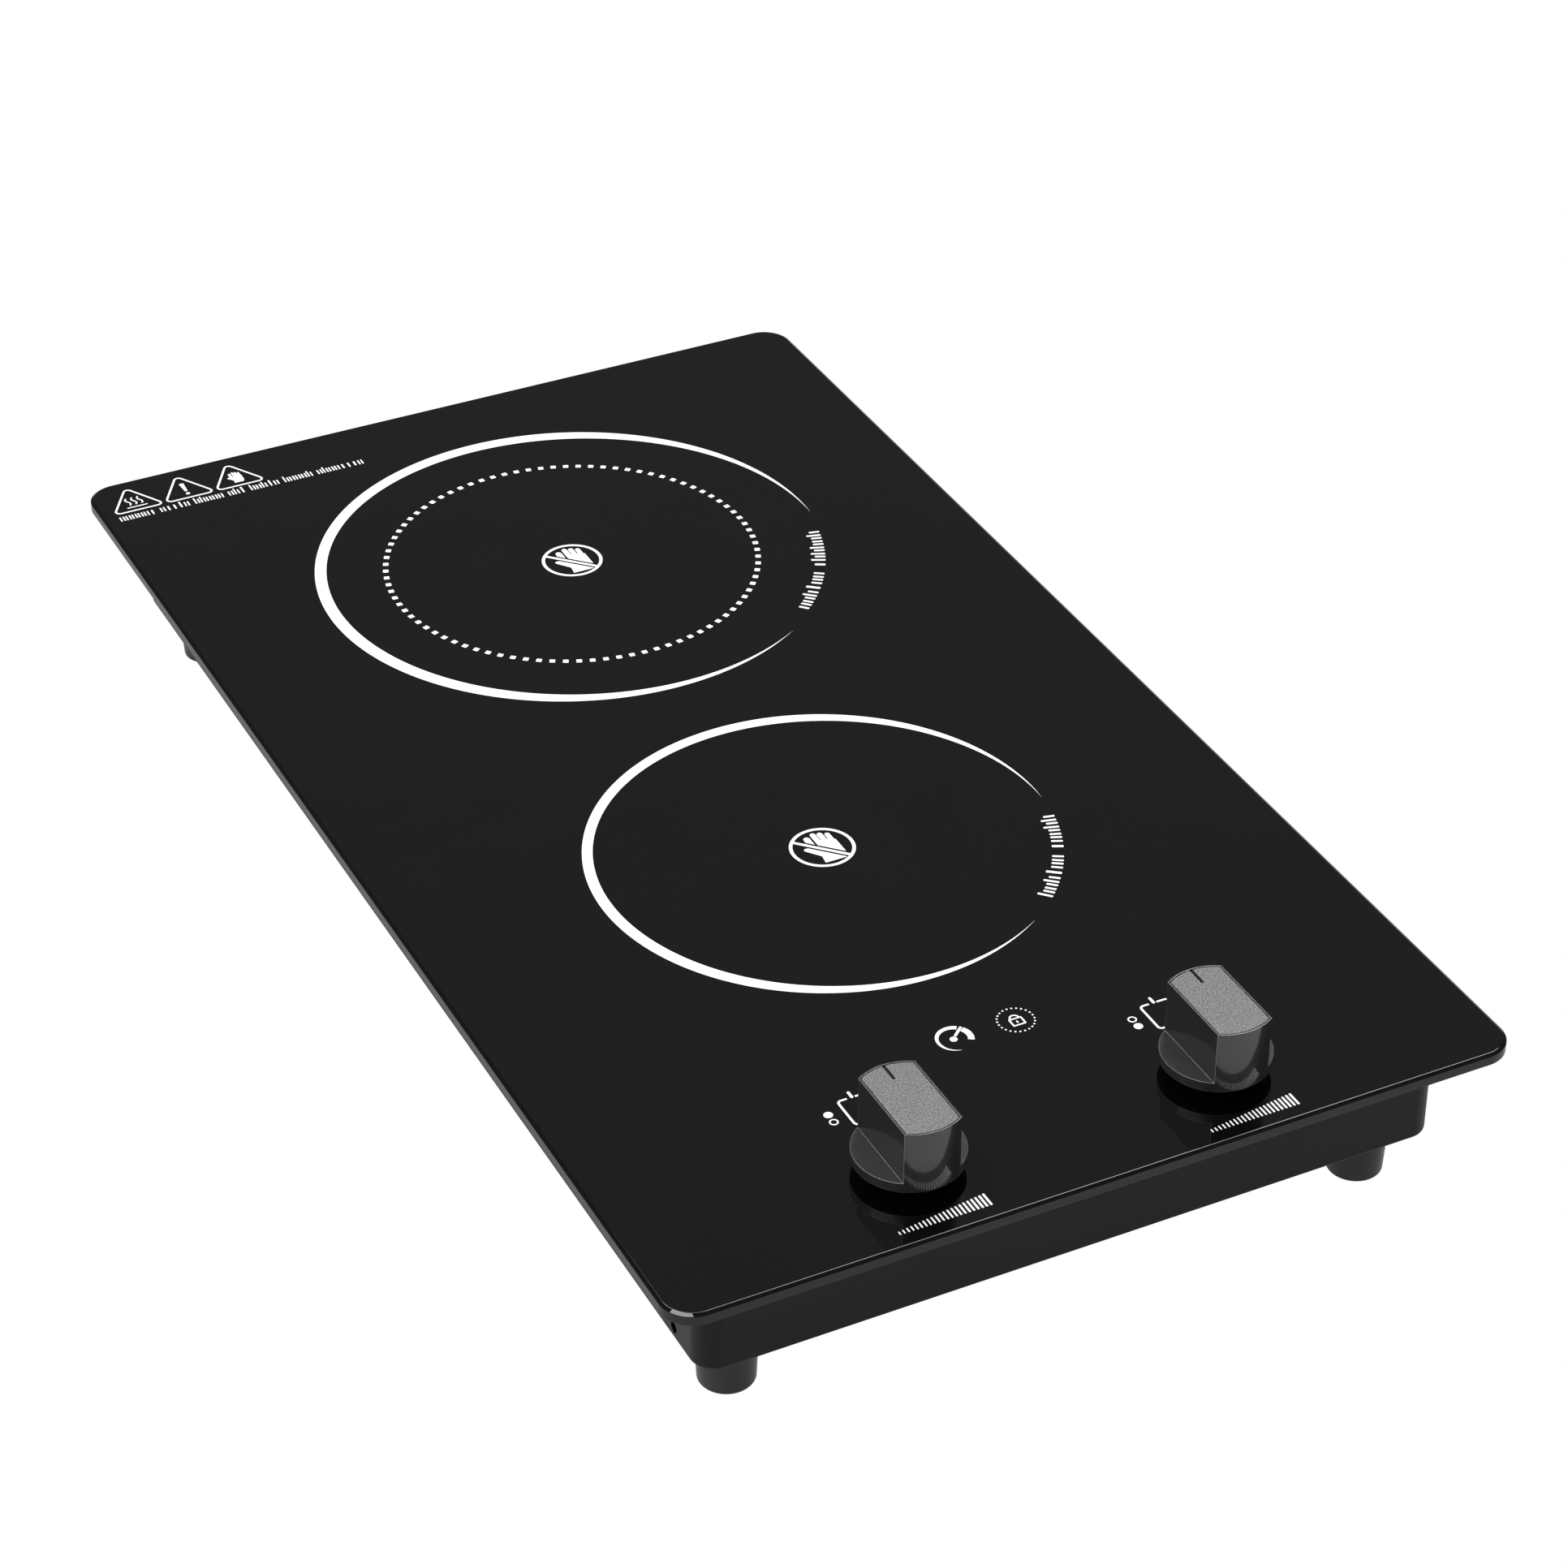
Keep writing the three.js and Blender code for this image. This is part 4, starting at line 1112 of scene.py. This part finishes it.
def finish(name, dark, light, rough, mottle=60.0, fine=900.0, bump=0.0, **constants):
    material = bpy.data.materials.new(name)
    material.use_nodes = True
    nodes, links = material.node_tree.nodes, material.node_tree.links
    shader = nodes["Principled BSDF"]
    for label, value in constants.items():
        shader.inputs[label.replace("_", " ")].default_value = value
    colour = nodes.new("ShaderNodeMix")
    colour.data_type = "RGBA"
    colour.inputs["A"].default_value = dark
    colour.inputs["B"].default_value = light
    links.new(grain(material, mottle), colour.inputs["Factor"])
    links.new(colour.outputs["Result"], shader.inputs["Base Color"])
    links.new(grain(material, fine, *rough), shader.inputs["Roughness"])
    if bump:
        height = nodes.new("ShaderNodeBump")
        height.inputs["Strength"].default_value = 1.0
        height.inputs["Distance"].default_value = bump
        links.new(grain(material, fine), height.inputs["Height"])
        links.new(height.outputs["Normal"], shader.inputs["Normal"])
    material.diffuse_color = light
    return material


# %% [markdown]
# ## The finishes you can see
#
# The glass is almost a mirror, but a very dark one: what it shows is a few percent of the room. The casing's powder
# coat is satin with a faint orange peel. The knobs are glossy dark grey plastic, so they mirror the white bars in
# front of them, and their rounded edges catch the light; a light base colour on these edges adds a painted highlight.
# Their metal plates are blasted, which gives a fine grain.

# %% Mix the visible finishes
CLEAR_COAT = {"Coat_Weight": 1.0, "Coat_Roughness": 0.08, "Coat_IOR": 1.7}

looks = {
    "ceramic_glass": finish(
        "black_glass", shade(0.0008), shade(0.0012), (0.012, 0.03), mottle=25, fine=40, IOR=2.0
    ),
    "ground_edge": finish(
        "ground_glass_edge", shade(0.0018), shade(0.0026), (0.02, 0.05), mottle=60, fine=300, IOR=1.6
    ),
    "print": finish(
        "white_enamel", shade(0.84), shade(0.9), (0.3, 0.42), mottle=300, fine=1500, bump=0.000002
    ),
    "casing_paint": finish(
        "black_powder_coat", shade(0.004), shade(0.006), (0.3, 0.4), mottle=40, fine=1400, bump=0.000006,
        Specular_IOR_Level=0.34
    ),
    "foot_plastic": finish(
        "dark_foot_plastic", shade(0.034), shade(0.042), (0.14, 0.2), mottle=60, fine=300, IOR=1.55
    ),
    "knob_plastic": finish(
        "glossy_knob_plastic", shade(0.018), shade(0.023), (0.3, 0.4), mottle=200, fine=1200, **CLEAR_COAT
    ),
    # A light base colour for the rounded edges of the dark knob: a painted highlight for the bright edge lines.
    "edge_painted_highlight": finish(
        "knob_rim_painted_highlight", shade(0.34), shade(0.44), (0.25, 0.35), mottle=400, fine=1200, **CLEAR_COAT
    ),
    "knob_metal": finish(
        "blasted_metal", shade(0.04), shade(0.36), (0.42, 0.6), mottle=2700, fine=2700, bump=0.00002,
        Metallic=1.0
    ),
    "black_plastic": finish(
        "black_moulding", shade(0.012), shade(0.018), (0.35, 0.5), mottle=150, fine=1600, bump=0.000006
    ),
    "silicone": finish(
        "black_silicone", shade(0.012), shade(0.02), (0.6, 0.75), mottle=80, fine=700, bump=0.00001
    ),
}

# %% [markdown]
# ## The finishes inside
#
# The heaters, the regulators and the board are shut in under the glass, but they are real parts with real
# materials: zinc-plated sheet with cloudy spangles, blued springs, pressed fibre, oxidised heating ribbon, white
# steatite, brown phenolic and a green board.

# %% Mix the hidden finishes
looks.update({
    "zinc_steel": finish(
        "zinc_plate", shade(0.5, (0.97, 1, 1.04)), shade(0.72, (0.98, 1, 1.03)), (0.28, 0.45),
        mottle=140, fine=(300.0, 2500.0, 2500.0), bump=0.000004, Metallic=1.0
    ),
    "spring_steel": finish(
        "spring_steel", shade(0.32, (0.95, 1, 1.1)), shade(0.5, (0.97, 1, 1.05)), (0.25, 0.4),
        mottle=300, fine=(400.0, 3000.0, 3000.0), bump=0.000003, Metallic=1.0
    ),
    "shaft_steel": finish(
        "ground_bar", shade(0.5), shade(0.66), (0.22, 0.36), mottle=(90.0, 90.0, 2500.0),
        fine=(60.0, 60.0, 4000.0), bump=0.000003, Metallic=1.0
    ),
    "insulation": finish(
        "fibre_board", shade(0.62, (1, 0.97, 0.88)), shade(0.82, (1, 0.97, 0.9)), (0.85, 0.97),
        mottle=500, fine=1800, bump=0.0002
    ),
    "heating_alloy": finish(
        "oxidised_ribbon", shade(0.1, (1, 0.88, 0.78)), shade(0.24, (1, 0.92, 0.84)), (0.45, 0.65),
        mottle=400, fine=2500, bump=0.00001, Metallic=0.9
    ),
    "steatite": finish(
        "white_steatite", shade(0.74, (1, 0.98, 0.92)), shade(0.84, (1, 0.98, 0.94)), (0.4, 0.55),
        mottle=200, fine=1500, bump=0.00001
    ),
    "quartz": finish(
        "clear_quartz", shade(0.86), shade(0.92), (0.04, 0.12), mottle=120, fine=300,
        Transmission_Weight=0.9, IOR=1.46
    ),
    "phenolic": finish(
        "brown_phenolic", shade(0.05, (1, 0.68, 0.55)), shade(0.085, (1, 0.7, 0.58)), (0.35, 0.5),
        mottle=350, fine=1600, bump=0.000008
    ),
    "brass": finish(
        "turned_brass", shade(0.62, (1, 0.76, 0.36)), shade(0.78, (1, 0.78, 0.4)), (0.22, 0.36),
        mottle=(120.0, 120.0, 2200.0), fine=(100.0, 100.0, 3500.0), bump=0.000004, Metallic=1.0
    ),
    "circuit_board": finish(
        "green_board", shade(0.045, (0.35, 1, 0.45)), shade(0.11, (0.3, 1, 0.42)), (0.3, 0.45),
        mottle=(700.0, 60.0, 60.0), fine=1500, bump=0.00001
    ),
    "relay_plastic": finish(
        "blue_moulding", shade(0.2, (0.3, 0.6, 1)), shade(0.26, (0.32, 0.62, 1)), (0.25, 0.4),
        mottle=150, fine=1500, bump=0.000006
    ),
    "lamp_red": finish(
        "red_lens", shade(0.42, (1, 0.1, 0.07)), shade(0.55, (1, 0.12, 0.08)), (0.08, 0.18),
        mottle=300, fine=600, Transmission_Weight=0.3, IOR=1.5
    ),
    "wire_jacket": finish(
        "brown_jacket", shade(0.2, (1, 0.42, 0.22)), shade(0.27, (1, 0.44, 0.24)), (0.45, 0.6),
        mottle=120, fine=1400, bump=0.00001
    ),
})
print("finishes:", sorted(looks))

# %% [markdown]
# ## Dress every part
#
# The CAD parts that stay keep their shape and take the finish that the record names for them. The finer pieces
# stand for the CAD part they were built on, move with the same body, and take its finish too.

# %% Assign the finishes and put each piece in place of its CAD part
FLAT_TOP = 0.97  # a face of the glass that leans more than this belongs to its ground edge

slot_of = {part["node"]: part["material_slot"] for part in frame["record"]["subparts"]}
body_of = {
    node: body for body, members in frame["record"]["behaviour"]["bodies"].items() for node in members
}
for node, part in frame["nodes"].items():
    for material_slot in part.material_slots:
        material_slot.material = looks[slot_of[node]]


def stand_for(piece, node, edge=None):
    slots = piece.data.materials
    if not slots:
        slots.append(looks[slot_of[node]])
    slots[0] = looks[slot_of[node]]
    if edge:
        slots[1] = looks[edge]
    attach(piece, body_of[node])
    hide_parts(node)


stand_for(glass, "glass_plate")
glass.data.materials.append(looks["ground_edge"])
with editing(glass):
    pick(glass, "FACE", lambda face: face.normal.z < FLAT_TOP)
    glass.active_material_index = 1
    bpy.ops.object.material_slot_assign()
stand_for(tray, "casing_tray")
stand_for(gland, "cord_gland")
for corner, foot in feet.items():
    stand_for(foot, f"foot_{corner}")
for side in ("left", "right"):
    # The knob's rounded edges take the painted highlight finish.
    stand_for(knobs[side], f"{side}_knob_body", edge="edge_painted_highlight")
    stand_for(plates[side], f"{side}_knob_insert")
for mark in prints.values():
    mark.data.materials.clear()
    mark.data.materials.append(looks["print"])
    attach(mark, "base")
print("feet:", len(feet), "knobs:", len(knobs), "prints:", len(prints))

# %% [markdown]
# ## Floor, light and camera
#
# A pale floor and three large soft lights high up give the even look of a catalogue picture. The walls of the room
# are dim, so the glass stays black: a mirror is only as bright as what it faces. Only the camera itself sees the
# floor and the backdrop as white. To the dark casing, which mirrors the floor, it is a good deal dimmer, and from
# below the floor can be seen through.

# %% Lay the floor
FLOOR_SIZE = 14
FLOOR_DROP = 0.0002
FLOOR_GLOW = 0.36

bpy.ops.object.select_all(action="DESELECT")
bpy.ops.mesh.primitive_plane_add(size=FLOOR_SIZE, location=(0, 0, -FLOOR_DROP))
floor = settled("studio_floor")
pale = finish(
    "pale_floor", shade(0.11), shade(0.13), (0.8, 0.9), mottle=3, fine=20,
    Emission_Color=shade(1.0), Emission_Strength=FLOOR_GLOW,
)
pale_nodes, pale_links = pale.node_tree.nodes, pale.node_tree.links
seen = pale_nodes.new("ShaderNodeEmission")
seen.inputs["Strength"].default_value = 1.0
below = pale_nodes.new("ShaderNodeBsdfTransparent")
by_camera = pale_nodes.new("ShaderNodeMixShader")
by_side = pale_nodes.new("ShaderNodeMixShader")
ray_kind = pale_nodes.new("ShaderNodeLightPath")
facing = pale_nodes.new("ShaderNodeNewGeometry")
pale_links.new(ray_kind.outputs["Is Camera Ray"], by_camera.inputs["Fac"])
pale_links.new(pale_nodes["Principled BSDF"].outputs[0], by_camera.inputs[1])
pale_links.new(seen.outputs[0], by_camera.inputs[2])
pale_links.new(facing.outputs["Backfacing"], by_side.inputs["Fac"])
pale_links.new(by_camera.outputs[0], by_side.inputs[1])
pale_links.new(below.outputs[0], by_side.inputs[2])
pale_links.new(by_side.outputs[0], pale_nodes["Material Output"].inputs["Surface"])
floor.data.materials.append(pale)
floor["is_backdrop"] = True

# %% Hang the lights
LIGHT_DISTANCE = 3.2
ROOM_DIMNESS = 0.1


def around(azimuth, elevation, distance, target):
    a, e = math.radians(azimuth), math.radians(elevation)
    back = Vector((math.sin(a) * math.cos(e), -math.cos(a) * math.cos(e), math.sin(e)))
    return target + back * distance, back


def softbox(name, azimuth, elevation, size, watts):
    place, back = around(azimuth, elevation, LIGHT_DISTANCE, Vector((0, 0, GLASS_TOP)))
    light = bpy.data.lights.new(name, "AREA")
    light.shape = "RECTANGLE"
    light.size = light.size_y = size
    light.energy = watts
    lamp = bpy.data.objects.new(name, light)
    lamp.location = place
    lamp.rotation_mode = "QUATERNION"
    lamp.rotation_quaternion = (-back).to_track_quat("-Z", "Y")
    bpy.context.scene.collection.objects.link(lamp)


softbox("left_softbox", -75, 60, size=2.0, watts=75)
softbox("right_softbox", 118, 60, size=1.7, watts=55)
softbox("rear_softbox", 205, 66, size=1.8, watts=45)

world = bpy.data.worlds.new("studio")
bpy.context.scene.world = world
world.use_nodes = True
world_nodes, world_links = world.node_tree.nodes, world.node_tree.links
dim = world_nodes["Background"]
dim.inputs["Color"].default_value = (1, 1, 1, 1)
dim.inputs["Strength"].default_value = ROOM_DIMNESS
backdrop = world_nodes.new("ShaderNodeBackground")
backdrop.inputs["Strength"].default_value = 1.0
ray = world_nodes.new("ShaderNodeLightPath")
chosen = world_nodes.new("ShaderNodeMixShader")
world_links.new(ray.outputs["Is Camera Ray"], chosen.inputs["Fac"])
world_links.new(dim.outputs[0], chosen.inputs[1])
world_links.new(backdrop.outputs[0], chosen.inputs[2])
world_links.new(chosen.outputs[0], world_nodes["World Output"].inputs["Surface"])
bpy.context.scene.view_settings.view_transform = "Standard"

# %% Stand the camera
AIM = Vector((0.00408, -0.0304, GLASS_TOP))
CAMERA_AZIMUTH, CAMERA_ELEVATION, CAMERA_DISTANCE = -26.424, 34.506, 1.44731
LENS = 98.51

camera_place, camera_back = around(CAMERA_AZIMUTH, CAMERA_ELEVATION, CAMERA_DISTANCE, AIM)
camera_data = bpy.data.cameras.new("camera")
camera_data.sensor_width = 36.0
camera_data.lens = LENS
camera_data.clip_start, camera_data.clip_end = 0.05, 60
camera = bpy.data.objects.new("camera", camera_data)
camera.location = camera_place
camera.rotation_mode = "QUATERNION"
camera.rotation_quaternion = (-camera_back).to_track_quat("-Z", "Y")
bpy.context.scene.collection.objects.link(camera)
bpy.context.scene.camera = camera
print("camera stands at", [round(c, 4) for c in camera.location])

# %% [markdown]
# ## Print the size
#
# The visual model is meant to keep to the CAD's size, so both boxes are printed next to each other.

# %% Print both boxes
bpy.ops.object.select_all(action="DESELECT")
seen_low, seen_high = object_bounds()
sizes = {
    "cad": [list(cad_low), list(cad_high)],
    "visual": [list(seen_low), list(seen_high)],
}
print("CAD box", sizes["cad"])
print("visual box", sizes["visual"])
